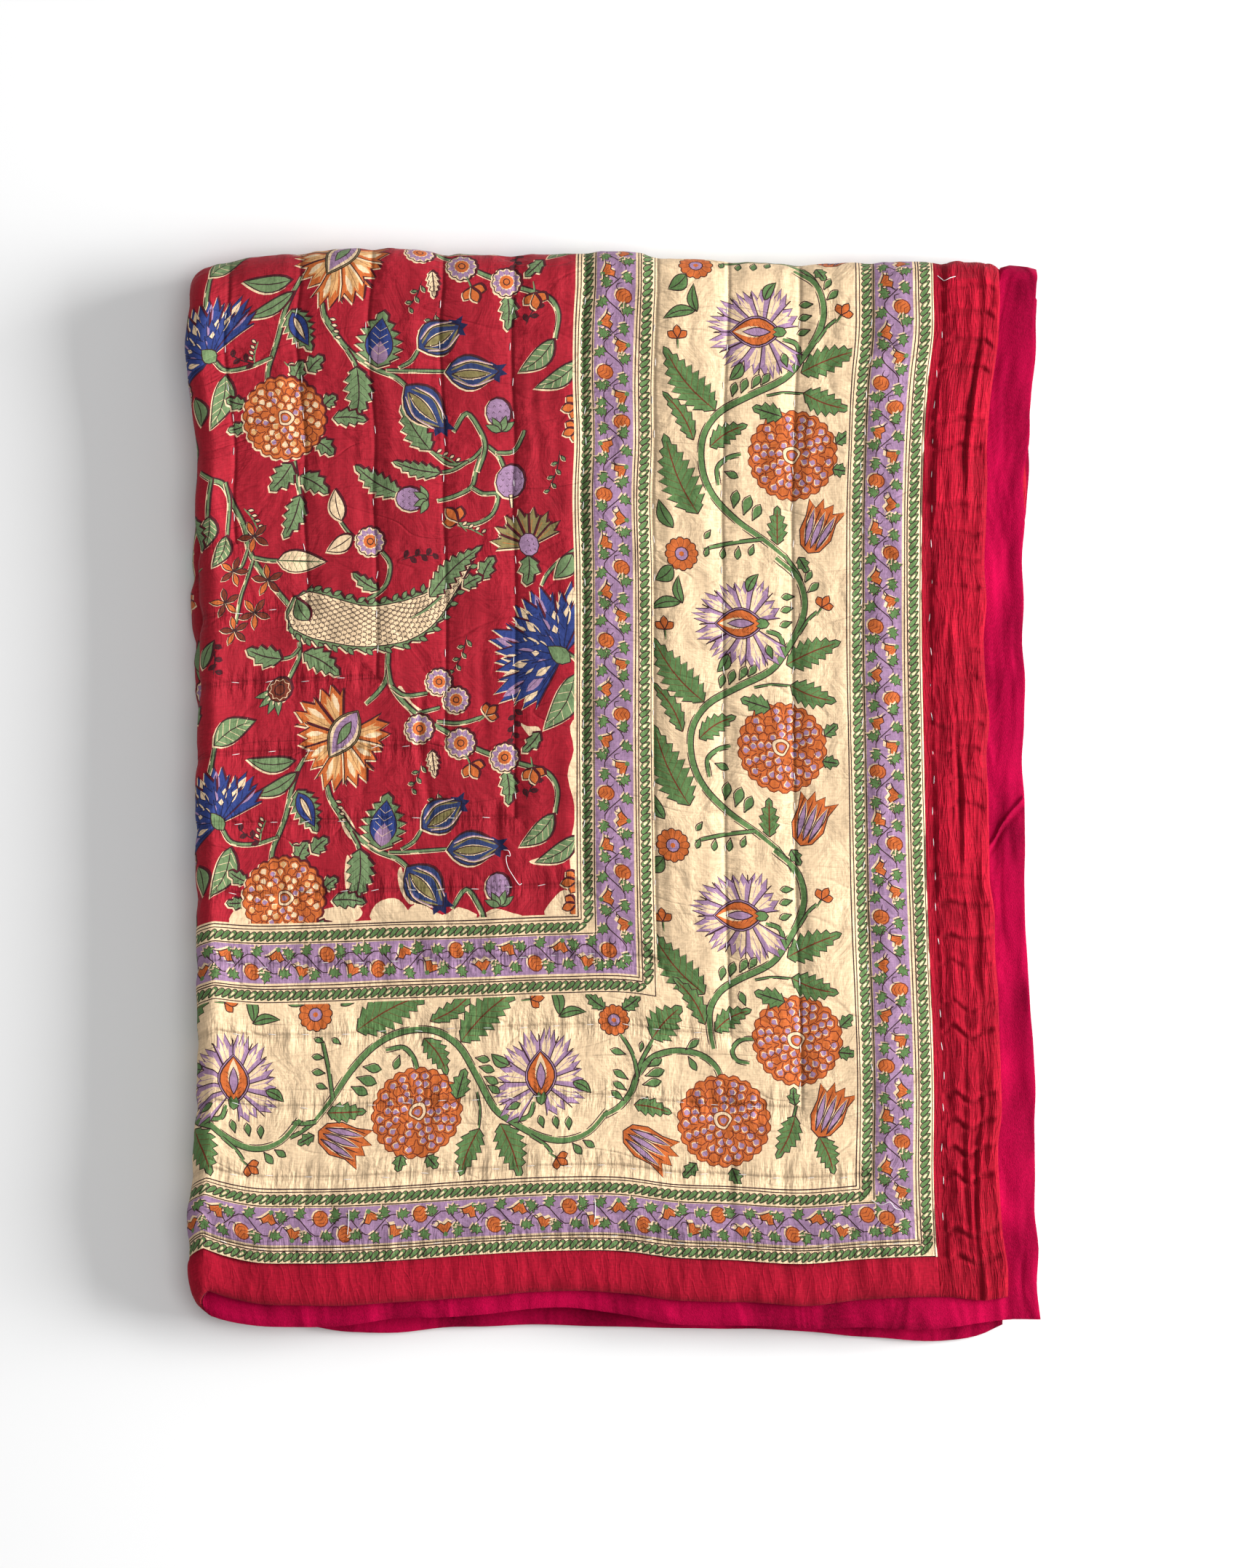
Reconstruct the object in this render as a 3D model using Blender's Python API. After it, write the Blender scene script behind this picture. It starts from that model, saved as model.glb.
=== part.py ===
"""A hand block printed quilt, folded in quarters and lying flat.

Run with: blender --background --python part.py

The quilt is described flat, in the coordinates a (across) and b (along), and
every point is then carried to its place in the folded stack by fold_up(). The
first fold is along the left side, with the print outside, and the second fold is
along the back, so four layers lie in the stack. Metres, Z up, the free ends of
the quilt towards -Y and its free sides towards +X.
"""

import math

import bmesh
import bpy
import numpy as np
from mathutils import Vector
from mathutils.geometry import delaunay_2d_cdt

MM = 0.001

# The quilt laid flat.
WIDTH = 1.300
LENGTH = 1.700
SIDE_BAND = 0.052
END_BAND = 0.033
PIECE_GAP = 0.0003

# The layers.
QUILT_THICKNESS = 0.0118
VELVET_THICKNESS = 0.0028
LAYER_GAP = 0.0015
FOLD_LOOP = 0.0040
FOLD_LOOP_REACH = 0.025
HEM_ROUND = 0.008
HEM_ROUND_PRINT = 0.42
HEM_ROUND_VELVET = 0.16
THINNING_SIDE = 0.30
THINNING_END = 0.28

# The quilting rows, which run as rectangles one inside the other.
FIRST_ROW = 0.045
ROW_PITCH = 0.0555
ROW_DEPTH_PRINT = 0.0030
ROW_DEPTH_VELVET = 0.0010
PRESSED_FLAT = 0.0008

# The creases that gather the side bands across.
CREASE_PITCH = 0.058
CREASE_DEPTH = 0.0015

# Where the flat quilt lies before it is folded: its first side hem, its first
# end hem and the lines where the two folds start.
HEM_SIDE = 0.2966
HEM_END = -0.3960
FOLD_SIDE = -0.3195
FOLD_END = 0.3988
SIDE_ARC = 0.0393
END_ARC = 0.0817
FOLD_MARGIN = 0.006
SIDE_ARC_STEPS = 6
END_ARC_STEPS = 8

FAR_SIDE = HEM_SIDE - WIDTH
FAR_END = HEM_END + LENGTH
LOWER_HEM_END = 2 * FOLD_END + END_ARC - FAR_END
FOLD_TIP = 0.0279

# The middle of the folded stack, as measured from the tables below.
STACK_MIDDLE = (-0.00291, -0.00066)

# Outline of the sides, in mm: the height up the stack in plan, the two folds at
# the left and the side hems of layers 1 (top) to 4 (on the floor) at the right.
SIDE_COLUMNS = ("y", "fold_upper", "fold_lower", "hem_1", "hem_2", "hem_3", "hem_4")
SIDES = (
    (-420, -331.0, -329.0, 310.0, 334.0, 304.0, 308.0),
    (-385, -335.5, -330.0, 309.0, 332.0, 306.0, 309.0),
    (-350, -338.5, -331.0, 306.0, 330.0, 309.0, 312.0),
    (-300, -334.0, -331.0, 303.0, 329.5, 313.0, 316.0),
    (-240, -330.0, -330.0, 303.0, 328.0, 317.0, 320.0),
    (-60, -329.5, -328.0, 296.5, 321.0, 318.0, 320.0),
    (60, -328.0, -330.0, 293.5, 319.5, 316.0, 318.0),
    (125, -326.0, -332.5, 292.0, 319.5, 316.0, 319.0),
    (175, -326.5, -335.5, 292.0, 319.0, 318.0, 321.0),
    (240, -330.0, -330.0, 293.0, 320.0, 322.0, 325.0),
    (272, -328.5, -328.0, 294.0, 322.0, 324.0, 327.0),
    (330, -334.5, -331.0, 298.5, 326.5, 326.0, 330.0),
    (369, -338.0, -334.0, 303.5, 329.5, 328.0, 333.0),
    (410, -332.0, -332.0, 302.0, 331.0, 329.0, 334.0),
)

# Outline of the ends, in mm: the place across, the fold at the back and the end
# hems of layers 1 to 4 at the front.
END_COLUMNS = ("x", "fold", "hem_1", "hem_2", "hem_3", "hem_4")
ENDS = (
    (-334, 402.0, -384.0, -405.0, -404.0, -402.0),
    (-311, 413.5, -394.5, -414.0, -410.0, -410.0),
    (-285, 420.5, -401.5, -419.5, -414.0, -416.0),
    (-250, 424.0, -403.0, -420.0, -419.0, -418.0),
    (-216, 427.0, -403.0, -419.5, -426.0, -423.5),
    (-177, 428.0, -401.0, -414.5, -421.0, -423.5),
    (-110, 423.0, -395.5, -410.5, -415.0, -418.5),
    (-43, 424.5, -392.5, -405.5, -414.0, -417.5),
    (10, 426.5, -393.5, -413.0, -416.0, -419.5),
    (43, 422.0, -398.0, -419.0, -417.0, -419.5),
    (90, 420.0, -400.0, -419.5, -419.0, -420.5),
    (145, 418.0, -403.0, -422.0, -421.0, -423.0),
    (200, 418.0, -399.0, -422.0, -424.0, -426.5),
    (262, 418.0, -397.5, -422.5, -427.0, -430.0),
    (290, 416.0, -399.0, -418.5, -424.0, -426.0),
    (310, 413.5, -396.0, -416.0, -416.0, -417.0),
    (334, 409.5, -396.0, -416.0, -413.0, -414.0),
)

# Spacing of the mesh.
ALONG_STEP = 0.095
SEAM_STEP = 0.034
BACK_STEP = 0.100
BAND_LINES = (0.0, 0.0025, 0.0080, 0.0240, 0.0400)
END_LINES = (0.0, 0.0025, 0.0080, 0.0240)

COLOURS = {
    "printed_cotton": (0.42, 0.07, 0.06),
    "red_cotton": (0.40, 0.012, 0.028),
    "crimson_velvet": (0.42, 0.004, 0.06),
}
ROUGHNESS = {"printed_cotton": 0.85, "red_cotton": 0.85, "crimson_velvet": 0.75}


def curve(rows, columns, name, place):
    """Read a column of a table as a smooth curve, at places given in metres."""
    table = np.array(rows, dtype=float) * MM
    knots = table[:, 0]
    values = table[:, columns.index(name)]
    slopes = np.gradient(values, knots)
    place = np.clip(place, knots[0], knots[-1])
    low = np.clip(np.searchsorted(knots, place) - 1, 0, len(knots) - 2)
    span = knots[low + 1] - knots[low]
    t = (place - knots[low]) / span
    rise = values[low + 1] - values[low]
    start = slopes[low] * span
    finish = slopes[low + 1] * span
    bend = 3 * rise - 2 * start - finish
    twist = start + finish - 2 * rise
    return values[low] + t * (start + t * (bend + t * twist))


def side(name, y):
    return curve(SIDES, SIDE_COLUMNS, name, y)


def end(name, x):
    return curve(ENDS, END_COLUMNS, name, x)


def blend(first, second, share):
    return first + (second - first) * share


def ease(value):
    """Rise smoothly from 0 to 1 as the value goes from 0 to 1."""
    t = np.clip(value, 0.0, 1.0)
    return t * t * (3 - 2 * t)


def hem_distance(a, b):
    """Distance of a flat point from the nearest hem."""
    across = np.minimum(HEM_SIDE - a, a - FAR_SIDE)
    along = np.minimum(b - HEM_END, FAR_END - b)
    return np.minimum(across, along)


def row_phase(a, b):
    """Place between two quilting rows, from 0 on one row to 1 on the next."""
    rows = (hem_distance(a, b) - FIRST_ROW) / ROW_PITCH
    return rows - np.floor(rows)


def row_sink(a, b):
    """How far the sewn rows draw the cloth in: 1 on a row, 0 on the crown."""
    phase = row_phase(a, b)
    from_row = np.minimum(phase, 1 - phase)
    inside = hem_distance(a, b) > 0.4 * FIRST_ROW
    return np.where(inside, 1 - ease(from_row / 0.25), 0.0)


def hem_sink(a, b):
    """Rounding of the edge: 1 at the hem itself, 0 past the round."""
    t = np.clip(1 - hem_distance(a, b) / HEM_ROUND, 0.0, 1.0)
    return 1 - np.sqrt(1 - t * t)


def crease_place(number):
    """Place along the quilt of one gathering crease of the side bands."""
    return HEM_END + CREASE_PITCH * (number + 0.6) + 0.009 * math.sin(2.3 * number)


def crease_places():
    count = int(LENGTH / CREASE_PITCH)
    return [crease_place(number) for number in range(count)]


def crease_sink(a, b):
    """Gathering creases across the side bands, 1 in a crease."""
    in_band = ease((np.minimum(HEM_SIDE - a, a - FAR_SIDE) - 0.004) / 0.006)
    in_band = in_band * (np.minimum(HEM_SIDE - a, a - FAR_SIDE) < SIDE_BAND)
    places = np.array(crease_places())
    nearest = np.min(np.abs(np.subtract.outer(b, places)), axis=-1)
    return in_band * np.exp(-(nearest / 0.007) ** 2)


def layer_thickness(x, y):
    """Thickness of one layer at a place in the folded stack."""
    uneven = 1 + 0.05 * np.sin(x / 0.090 + 0.6) * np.cos(y / 0.120)
    sides = 1 - THINNING_SIDE * ease((x - 0.215) / 0.100)
    ends = 1 - THINNING_END * ease((-y - 0.315) / 0.085)
    return QUILT_THICKNESS * uneven * sides * ends


def print_depth(a, b, thickness):
    """Depth of the printed face under the full thickness."""
    rows = ROW_DEPTH_PRINT * row_sink(a, b)
    creases = CREASE_DEPTH * crease_sink(a, b)
    hem = HEM_ROUND_PRINT * thickness * hem_sink(a, b)
    return rows + creases + hem


def velvet_depth(a, b, thickness):
    """Depth of the velvet face, measured from the printed side."""
    rows = ROW_DEPTH_VELVET * row_sink(a, b)
    hem = HEM_ROUND_VELVET * thickness * hem_sink(a, b)
    return thickness - rows - hem


def panel_back(a, b, thickness):
    """Back of the filled pieces, a hair off the velvet."""
    return thickness - VELVET_THICKNESS - PIECE_GAP


def velvet_inner(a, b, thickness):
    return thickness - VELVET_THICKNESS


def fold_up(a, b, depth):
    """Carry flat points to the folded stack. depth is a function of thickness."""
    a = np.asarray(a, dtype=float)
    b = np.asarray(b, dtype=float)
    inner = np.clip((FOLD_SIDE - a) / SIDE_ARC, 0.0, 1.0)
    lower = np.clip((b - FOLD_END) / END_ARC, 0.0, 1.0)
    past_end = np.maximum(b - FOLD_END - END_ARC, 0.0)
    y_plan = np.minimum(b, FOLD_END) - past_end

    fold_x = blend(side("fold_upper", y_plan), side("fold_lower", y_plan), lower)
    outer_hem = blend(side("hem_1", y_plan), side("hem_4", y_plan), lower)
    inner_hem = blend(side("hem_2", y_plan), side("hem_3", y_plan), lower)
    hem_x = blend(outer_hem, inner_hem, inner)
    outer_share = (a - FOLD_SIDE) / (HEM_SIDE - FOLD_SIDE)
    inner_share = (FOLD_SIDE - SIDE_ARC - a) / (FOLD_SIDE - SIDE_ARC - FAR_SIDE)
    share = np.clip(np.maximum(outer_share, inner_share), 0.0, 1.0)
    fold_start = fold_x + FOLD_SIDE + 0.332
    x_plan = blend(fold_start, hem_x, share)

    thickness = layer_thickness(x_plan, y_plan)
    loop = LAYER_GAP + FOLD_LOOP * np.exp(-(x_plan - fold_start) / FOLD_LOOP_REACH)
    pair = 2 * thickness + loop
    w = depth(a, b, thickness)
    turn = math.pi * inner
    radius = pair / 2
    x = x_plan - (radius - w) * np.sin(turn)
    height = radius + (radius - w) * np.cos(turn)

    outer_end = blend(end("hem_1", x_plan), end("hem_2", x_plan), inner)
    inner_end = blend(end("hem_4", x_plan), end("hem_3", x_plan), inner)
    hem_y = blend(outer_end, inner_end, lower)
    flat_hem = blend(HEM_END, LOWER_HEM_END, lower)
    back_y = end("fold", x_plan) - FOLD_TIP
    along = np.clip((y_plan - flat_hem) / (FOLD_END - flat_hem), 0.0, 1.0)
    y_plan_moved = blend(hem_y, back_y, along)

    throat = LAYER_GAP + FOLD_LOOP * np.exp(-(FOLD_END - y_plan) / FOLD_LOOP_REACH)
    reach = throat / 2 + height
    tip = math.pi * lower
    y = y_plan_moved + reach * np.sin(tip)
    z = pair + throat / 2 + reach * np.cos(tip)
    z = np.where((z < PRESSED_FLAT) & (lower > 0.99), 0.0, z)
    return np.stack([x - STACK_MIDDLE[0], y - STACK_MIDDLE[1], z], axis=-1)


def between(low, high, step):
    """Even places from low to high, about a step apart, both ends included."""
    count = max(1, round((high - low) / step))
    return list(np.linspace(low, high, count + 1))


def places_across(step):
    """Places across the quilt, close together round the side fold."""
    arc_start = FOLD_SIDE - SIDE_ARC
    arc = list(np.linspace(arc_start, FOLD_SIDE, SIDE_ARC_STEPS + 1))
    first = between(FAR_SIDE + SIDE_BAND, arc_start - 0.02, step)
    last = between(FOLD_SIDE + 0.02, HEM_SIDE - SIDE_BAND, step)
    return first + arc + last


def places_along(step):
    """Places along the quilt, close together round the end fold."""
    arc_end = FOLD_END + END_ARC
    arc = list(np.linspace(FOLD_END, arc_end, END_ARC_STEPS + 1))
    first = between(HEM_END + END_BAND, FOLD_END - 0.02, step)
    last = between(arc_end + 0.02, FAR_END - END_BAND, step)
    return first + arc + last


def seam_places():
    """Places along the side seams: each crease, and half way to the next."""
    arc = [b for b in places_along(ALONG_STEP) if FOLD_END <= b <= FOLD_END + END_ARC]
    creases = crease_places()
    middles = [(p + q) / 2 for p, q in zip(creases, creases[1:])]
    clear = [
        b
        for b in creases + middles
        if HEM_END + END_BAND + 0.01 < b < FAR_END - END_BAND - 0.01
        and not FOLD_END - 0.008 < b < FOLD_END + END_ARC + 0.008
    ]
    return sorted(arc + clear + [HEM_END + END_BAND, FAR_END - END_BAND])


def row_levels(phases):
    """Distances from the hem of the quilting rows and of the lines between them."""
    rows = int(WIDTH / 2 / ROW_PITCH) + 1
    starts = [FIRST_ROW + ROW_PITCH * row for row in range(-1, rows)]
    levels = [start + phase * ROW_PITCH for start in starts for phase in phases]
    return [level for level in levels if 0.012 < level < WIDTH / 2 - 0.004]


def near_side_fold(a):
    return FOLD_SIDE - SIDE_ARC - FOLD_MARGIN < a < FOLD_SIDE + FOLD_MARGIN


def near_end_fold(b):
    return FOLD_END - FOLD_MARGIN < b < FOLD_END + END_ARC + FOLD_MARGIN


def quilting_points(phases, step):
    """Points along the quilting rows, as rectangles in rectangles, off the folds."""
    points = []
    across = places_across(step)
    along = places_along(step)
    for level in row_levels(phases):
        ends = (HEM_END + level, FAR_END - level)
        sides = (FAR_SIDE + level, HEM_SIDE - level)
        points += [(a, b) for a in sides for b in ends]
        points += [(a, b) for a in sides for b in along if ends[0] + 0.01 < b < ends[1] - 0.01]
        points += [(a, b) for a in across for b in ends if sides[0] + 0.01 < a < sides[1] - 0.01]
    return [(a, b) for a, b in points if not near_side_fold(a) and not near_end_fold(b)]


def fold_lines(phases, step):
    """Lines along the two folds, with a point wherever a quilting row crosses."""
    arc_across = [a for a in places_across(step) if near_side_fold(a)]
    arc_along = [b for b in places_along(step) if near_end_fold(b)]
    levels = row_levels(phases)
    side_reach = HEM_SIDE - FOLD_SIDE - FOLD_MARGIN
    crossing = [level for level in levels if level < side_reach]
    low_turn = HEM_END + max(crossing) + 0.03
    high_turn = FAR_END - max(crossing) - 0.03
    down = [HEM_END + level for level in crossing] + [FAR_END - level for level in crossing]
    down += [b for b in places_along(step) if low_turn < b < high_turn]
    over = [FAR_SIDE + level for level in levels] + [HEM_SIDE - level for level in levels]
    over = [a for a in over if not near_side_fold(a)] + arc_across
    lines = [[(a, b) for b in sorted(down)] for a in arc_across]
    return lines + [[(a, b) for a in sorted(over)] for b in arc_along]


def inside_box(points, loop, gap):
    """The points that lie inside the loop's box by at least a gap."""
    corners = np.array(loop)
    low = corners.min(axis=0) + gap
    high = corners.max(axis=0) - gap
    return [(a, b) for a, b in points if low[0] < a < high[0] and low[1] < b < high[1]]


def rectangle_loop(across, along):
    """A rectangle's outline through its places, anticlockwise from the low corner."""
    loop = [(a, along[0]) for a in across]
    loop += [(across[-1], b) for b in along[1:]]
    loop += [(a, along[-1]) for a in reversed(across[:-1])]
    loop += [(across[0], b) for b in reversed(along[1:-1])]
    return loop


def triangle_sheet(loop, points, lines):
    """Triangles over the inside of a loop, through the points and along the lines."""
    every = list(loop) + list(points)
    edges = []
    for line in lines:
        edges += [(len(every) + i, len(every) + i + 1) for i in range(len(line) - 1)]
        every += line
    corners = [Vector(p) for p in every]
    outline = [tuple(range(len(loop)))]
    verts, _, faces, _, _, _ = delaunay_2d_cdt(corners, edges, outline, 1, 1e-6, True)
    return [tuple(v) for v in verts], [tuple(f) for f in faces]


def grid_sheet(across, along):
    """Triangles over a grid of places."""
    points = [(a, b) for b in along for a in across]
    width = len(across)
    faces = []
    for row in range(len(along) - 1):
        for column in range(width - 1):
            corner = row * width + column
            faces.append((corner, corner + 1, corner + width + 1))
            faces.append((corner, corner + width + 1, corner + width))
    return points, faces


def outline_of(points, faces):
    """The sheet's outer edge, in order, from its low corner."""
    following = {}
    edges = {(f[i], f[(i + 1) % 3]) for f in faces for i in range(3)}
    for start, stop in edges:
        if (stop, start) not in edges:
            following[start] = stop
    first = min(following, key=lambda v: points[v][0] + points[v][1])
    loop = [first]
    while following[loop[-1]] != first:
        loop.append(following[loop[-1]])
    return loop


def edge_shares(points, loop):
    """How far round the rectangle each outline point lies, from 0 to 4 by its sides."""
    ring = np.array([points[v] for v in loop])
    low = ring.min(axis=0)
    size = ring.max(axis=0) - low
    u, v = ((ring - low) / size).T
    close = 1e-4
    shares = np.where(v < close, u, np.where(u > 1 - close, 1 + v, 0.0))
    shares = np.where((v > 1 - close) & (u < 1 - close), 3 - u, shares)
    return np.where((u < close) & (v > close) & (v < 1 - close), 4 - v, shares)


def joining_faces(front, back, offset):
    """The rim between the outlines of two sheets, with the same stations on both."""
    front_loop = outline_of(*front)
    back_loop = outline_of(*back)
    sides = edge_shares(front[0], front_loop)
    faces = []
    count = len(front_loop)
    for i in range(count):
        here = front_loop[i]
        ahead = front_loop[(i + 1) % count]
        below = back_loop[i] + offset
        below_ahead = back_loop[(i + 1) % count] + offset
        if sides[i] < 2:
            faces += [(here, below, ahead), (ahead, below, below_ahead)]
        else:
            faces += [(here, below, below_ahead), (here, below_ahead, ahead)]
    return faces


def cloth_piece(name, colour, front, back, front_depth, back_depth):
    """One closed piece between a front sheet and a back sheet, folded up."""
    front_points = np.array(front[0])
    back_points = np.array(back[0])
    front_verts = fold_up(front_points[:, 0], front_points[:, 1], front_depth)
    back_verts = fold_up(back_points[:, 0], back_points[:, 1], back_depth)
    offset = len(front_verts)
    faces = list(front[1])
    faces += [tuple(v + offset for v in reversed(face)) for face in back[1]]
    faces += joining_faces(front, back, offset)
    mesh = bpy.data.meshes.new(name)
    mesh.from_pydata(np.concatenate([front_verts, back_verts]).tolist(), [], faces)
    shell = bmesh.new()
    shell.from_mesh(mesh)
    bmesh.ops.recalc_face_normals(shell, faces=shell.faces)
    shell.to_mesh(mesh)
    shell.free()
    mesh.shade_smooth()
    mesh.set_sharp_from_angle(angle=math.radians(50))
    mesh.materials.append(cloth_material(colour))
    piece = bpy.data.objects.new(name, mesh)
    bpy.context.collection.objects.link(piece)
    return piece


def cloth_material(name):
    material = bpy.data.materials.get(name)
    if material is None:
        material = bpy.data.materials.new(name)
        material.use_nodes = True
        shader = material.node_tree.nodes["Principled BSDF"]
        shader.inputs["Base Color"].default_value = (*COLOURS[name], 1.0)
        shader.inputs["Roughness"].default_value = ROUGHNESS[name]
        shader.inputs["Metallic"].default_value = 0.0
    return material


def side_stations():
    """Places along every side seam and side hem."""
    low = [HEM_END + line for line in END_LINES]
    high = [FAR_END - line for line in reversed(END_LINES)]
    return low + seam_places() + high


def end_stations():
    """Places along every end seam and end hem."""
    low = [FAR_SIDE + line for line in BAND_LINES]
    high = [HEM_SIDE - line for line in reversed(BAND_LINES)]
    return low + places_across(SEAM_STEP) + high


def stretch(places, low, high):
    """The places from low to high, both included."""
    return [p for p in places if low - 1e-6 < p < high + 1e-6]


def shared_sheet():
    """The sheet where the filled pieces meet the velvet, with every seam in it."""
    across = end_stations()
    along = side_stations()
    loop = rectangle_loop(across, along)
    seam_sides = (FAR_SIDE + SIDE_BAND, HEM_SIDE - SIDE_BAND)
    seam_ends = (HEM_END + END_BAND, FAR_END - END_BAND)
    lines = [[(a, b) for b in along] for a in seam_sides]
    lines += [[(a, b) for a in stretch(across, *seam_sides)] for b in seam_ends]
    wide = places_across(BACK_STEP)
    long = places_along(BACK_STEP)
    lines += [[(a, b) for b in long] for a in wide if near_side_fold(a)]
    lines += [[(a, b) for a in wide] for b in long if near_end_fold(b)]
    lattice = [(a, b) for a in wide[1:-1] for b in long[1:-1]]
    return triangle_sheet(loop, lattice, lines)


def part_of_sheet(sheet, low, high):
    """The triangles of a sheet inside a rectangle, drawn in to its exact size."""
    points, faces = sheet
    corners = np.array(points)
    kept = []
    for face in faces:
        middle = corners[list(face)].mean(axis=0)
        if low[0] < middle[0] < high[0] and low[1] < middle[1] < high[1]:
            kept.append(face)
    used = sorted({v for face in kept for v in face})
    number = {v: i for i, v in enumerate(used)}
    drawn_in = np.clip(corners[used], low, high)
    return [tuple(p) for p in drawn_in], [tuple(number[v] for v in f) for f in kept]


def piece_bounds(low_a, high_a, low_b, high_b):
    """A piece's rectangle, half a gap smaller at each seam but not at the hems."""
    half = PIECE_GAP / 2
    low = (
        low_a + (half if low_a > FAR_SIDE else 0.0),
        low_b + (half if low_b > HEM_END else 0.0),
    )
    high = (
        high_a - (half if high_a < HEM_SIDE else 0.0),
        high_b - (half if high_b < FAR_END else 0.0),
    )
    return low, high


def fitted(places, low, high):
    """The places within a piece, with its own ends in place of the seam's."""
    inside = [p for p in places if low + 0.001 < p < high - 0.001]
    return [low] + inside + [high]


def make_quilted_top(shared):
    low, high = piece_bounds(
        FAR_SIDE + SIDE_BAND, HEM_SIDE - SIDE_BAND, HEM_END + END_BAND, FAR_END - END_BAND
    )
    across = fitted(end_stations(), low[0], high[0])
    along = fitted(side_stations(), low[1], high[1])
    loop = rectangle_loop(across, along)
    phases = (0.0, 0.25, 0.75)
    points = inside_box(quilting_points(phases, ALONG_STEP), loop, 0.006)
    lines = [inside_box(line, loop, 0.006) for line in fold_lines(phases, ALONG_STEP)]
    front = triangle_sheet(loop, points, lines)
    back = part_of_sheet(shared, low, high)
    cloth_piece("quilted_top", "printed_cotton", front, back, print_depth, panel_back)


def make_band(name, shared, low_a, high_a, low_b, high_b):
    """A band of plain cotton over a rectangle of the quilt."""
    low, high = piece_bounds(low_a, high_a, low_b, high_b)
    across = fitted(end_stations(), low[0], high[0])
    along = fitted(side_stations(), low[1], high[1])
    front = grid_sheet(across, along)
    back = part_of_sheet(shared, low, high)
    cloth_piece(name, "red_cotton", front, back, print_depth, panel_back)


def make_velvet_backing(shared):
    across = end_stations()
    along = side_stations()
    loop = rectangle_loop(across, along)
    round_hem = rectangle_loop(across[1:-1], along[1:-1])
    past_hem = rectangle_loop(across[2:-2], along[2:-2])
    phases = (0.0, 0.5)
    points = inside_box(quilting_points(phases, ALONG_STEP), past_hem, 0.008)
    lines = [inside_box(line, past_hem, 0.008) for line in fold_lines(phases, ALONG_STEP)]
    front = triangle_sheet(loop, round_hem + past_hem + points, lines)
    cloth_piece("velvet_backing", "crimson_velvet", front, shared, velvet_depth, velvet_inner)


def main():
    for old in list(bpy.data.objects):
        bpy.data.objects.remove(old, do_unlink=True)
    shared = shared_sheet()
    seam_low = FAR_SIDE + SIDE_BAND
    seam_high = HEM_SIDE - SIDE_BAND
    make_quilted_top(shared)
    make_band("side_band_first", shared, seam_high, HEM_SIDE, HEM_END, FAR_END)
    make_band("side_band_second", shared, FAR_SIDE, seam_low, HEM_END, FAR_END)
    make_band("end_band_first", shared, seam_low, seam_high, HEM_END, HEM_END + END_BAND)
    make_band("end_band_second", shared, seam_low, seam_high, FAR_END - END_BAND, FAR_END)
    make_velvet_backing(shared)


main()
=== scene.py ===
"""A hand block printed quilt, folded in quarters, on a white table, seen from above.

The quilt is described flat, with a across it and b along it, and fold_up() carries
each point to its place in the folded stack. The print is drawn flat as inked shapes
in millimetres, the cloth is cut along their edges, and each scrap of cloth keeps the
colour of its ink.
"""

import functools

import bmesh
import bpy
import numpy as np
from math import atan2, cos, degrees, hypot, pi, radians, sin
from mathutils import Matrix, Vector
from mathutils.geometry import delaunay_2d_cdt


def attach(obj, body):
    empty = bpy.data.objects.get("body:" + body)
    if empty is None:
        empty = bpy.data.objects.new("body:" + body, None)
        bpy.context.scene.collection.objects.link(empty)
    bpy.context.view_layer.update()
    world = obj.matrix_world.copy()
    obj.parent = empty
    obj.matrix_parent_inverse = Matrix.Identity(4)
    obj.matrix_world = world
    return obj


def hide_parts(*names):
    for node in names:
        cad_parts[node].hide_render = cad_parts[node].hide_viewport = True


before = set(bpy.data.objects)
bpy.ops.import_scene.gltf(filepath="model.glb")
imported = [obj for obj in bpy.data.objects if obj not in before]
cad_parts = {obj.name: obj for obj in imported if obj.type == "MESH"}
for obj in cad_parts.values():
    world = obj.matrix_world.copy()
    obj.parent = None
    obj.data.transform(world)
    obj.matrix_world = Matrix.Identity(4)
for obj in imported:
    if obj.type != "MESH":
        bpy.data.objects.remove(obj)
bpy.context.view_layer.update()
bpy.ops.object.select_all(action="DESELECT")

MM = 0.001

# The quilt laid flat.
WIDTH = 1.300
LENGTH = 1.700
SIDE_BAND = 0.052
END_BAND = 0.033
SEAM_GAP = 0.0002

# The layers.
QUILT_THICKNESS = 0.0118
VELVET_THICKNESS = 0.0028
LAYER_GAP = 0.0015
FOLD_LOOP = 0.0040
FOLD_LOOP_REACH = 0.025
HEM_ROUND = 0.008
HEM_ROUND_PRINT = 0.42
HEM_ROUND_VELVET = 0.16
THINNING_SIDE = 0.30
THINNING_END = 0.28

# The quilting rows, which run as rectangles one inside the other.
FIRST_ROW = 0.045
ROW_PITCH = 0.0555
ROW_DEPTH_PRINT = 0.0018
ROW_DEPTH_VELVET = 0.0010
PRESSED_FLAT = 0.0008

# The creases that gather the side bands across.
CREASE_PITCH = 0.058
CREASE_DEPTH = 0.0015

# The first hems and the lines where the two folds start.
HEM_SIDE = 0.2966
HEM_END = -0.3960
FOLD_SIDE = -0.3195
FOLD_END = 0.3988
SIDE_ARC = 0.0393
END_ARC = 0.0817
FAR_SIDE = HEM_SIDE - WIDTH
FAR_END = HEM_END + LENGTH
LOWER_HEM_END = 2 * FOLD_END + END_ARC - FAR_END
FOLD_TIP = 0.0260
FOLD_MEAN = 0.332
STACK_MIDDLE = (-0.00291, -0.00066)

# How far the seen edges lie from the outlines below, and how far the hidden end of the
# velvet reaches past its hem at the side.
FOLD_OUT = 0.0012
LOWER_HEM_OUT = 0.0028
LAST_END_OUT = 0.0025
THIRD_END_BACK = 0.014
HIDDEN_END_OUT = 0.012

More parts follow.
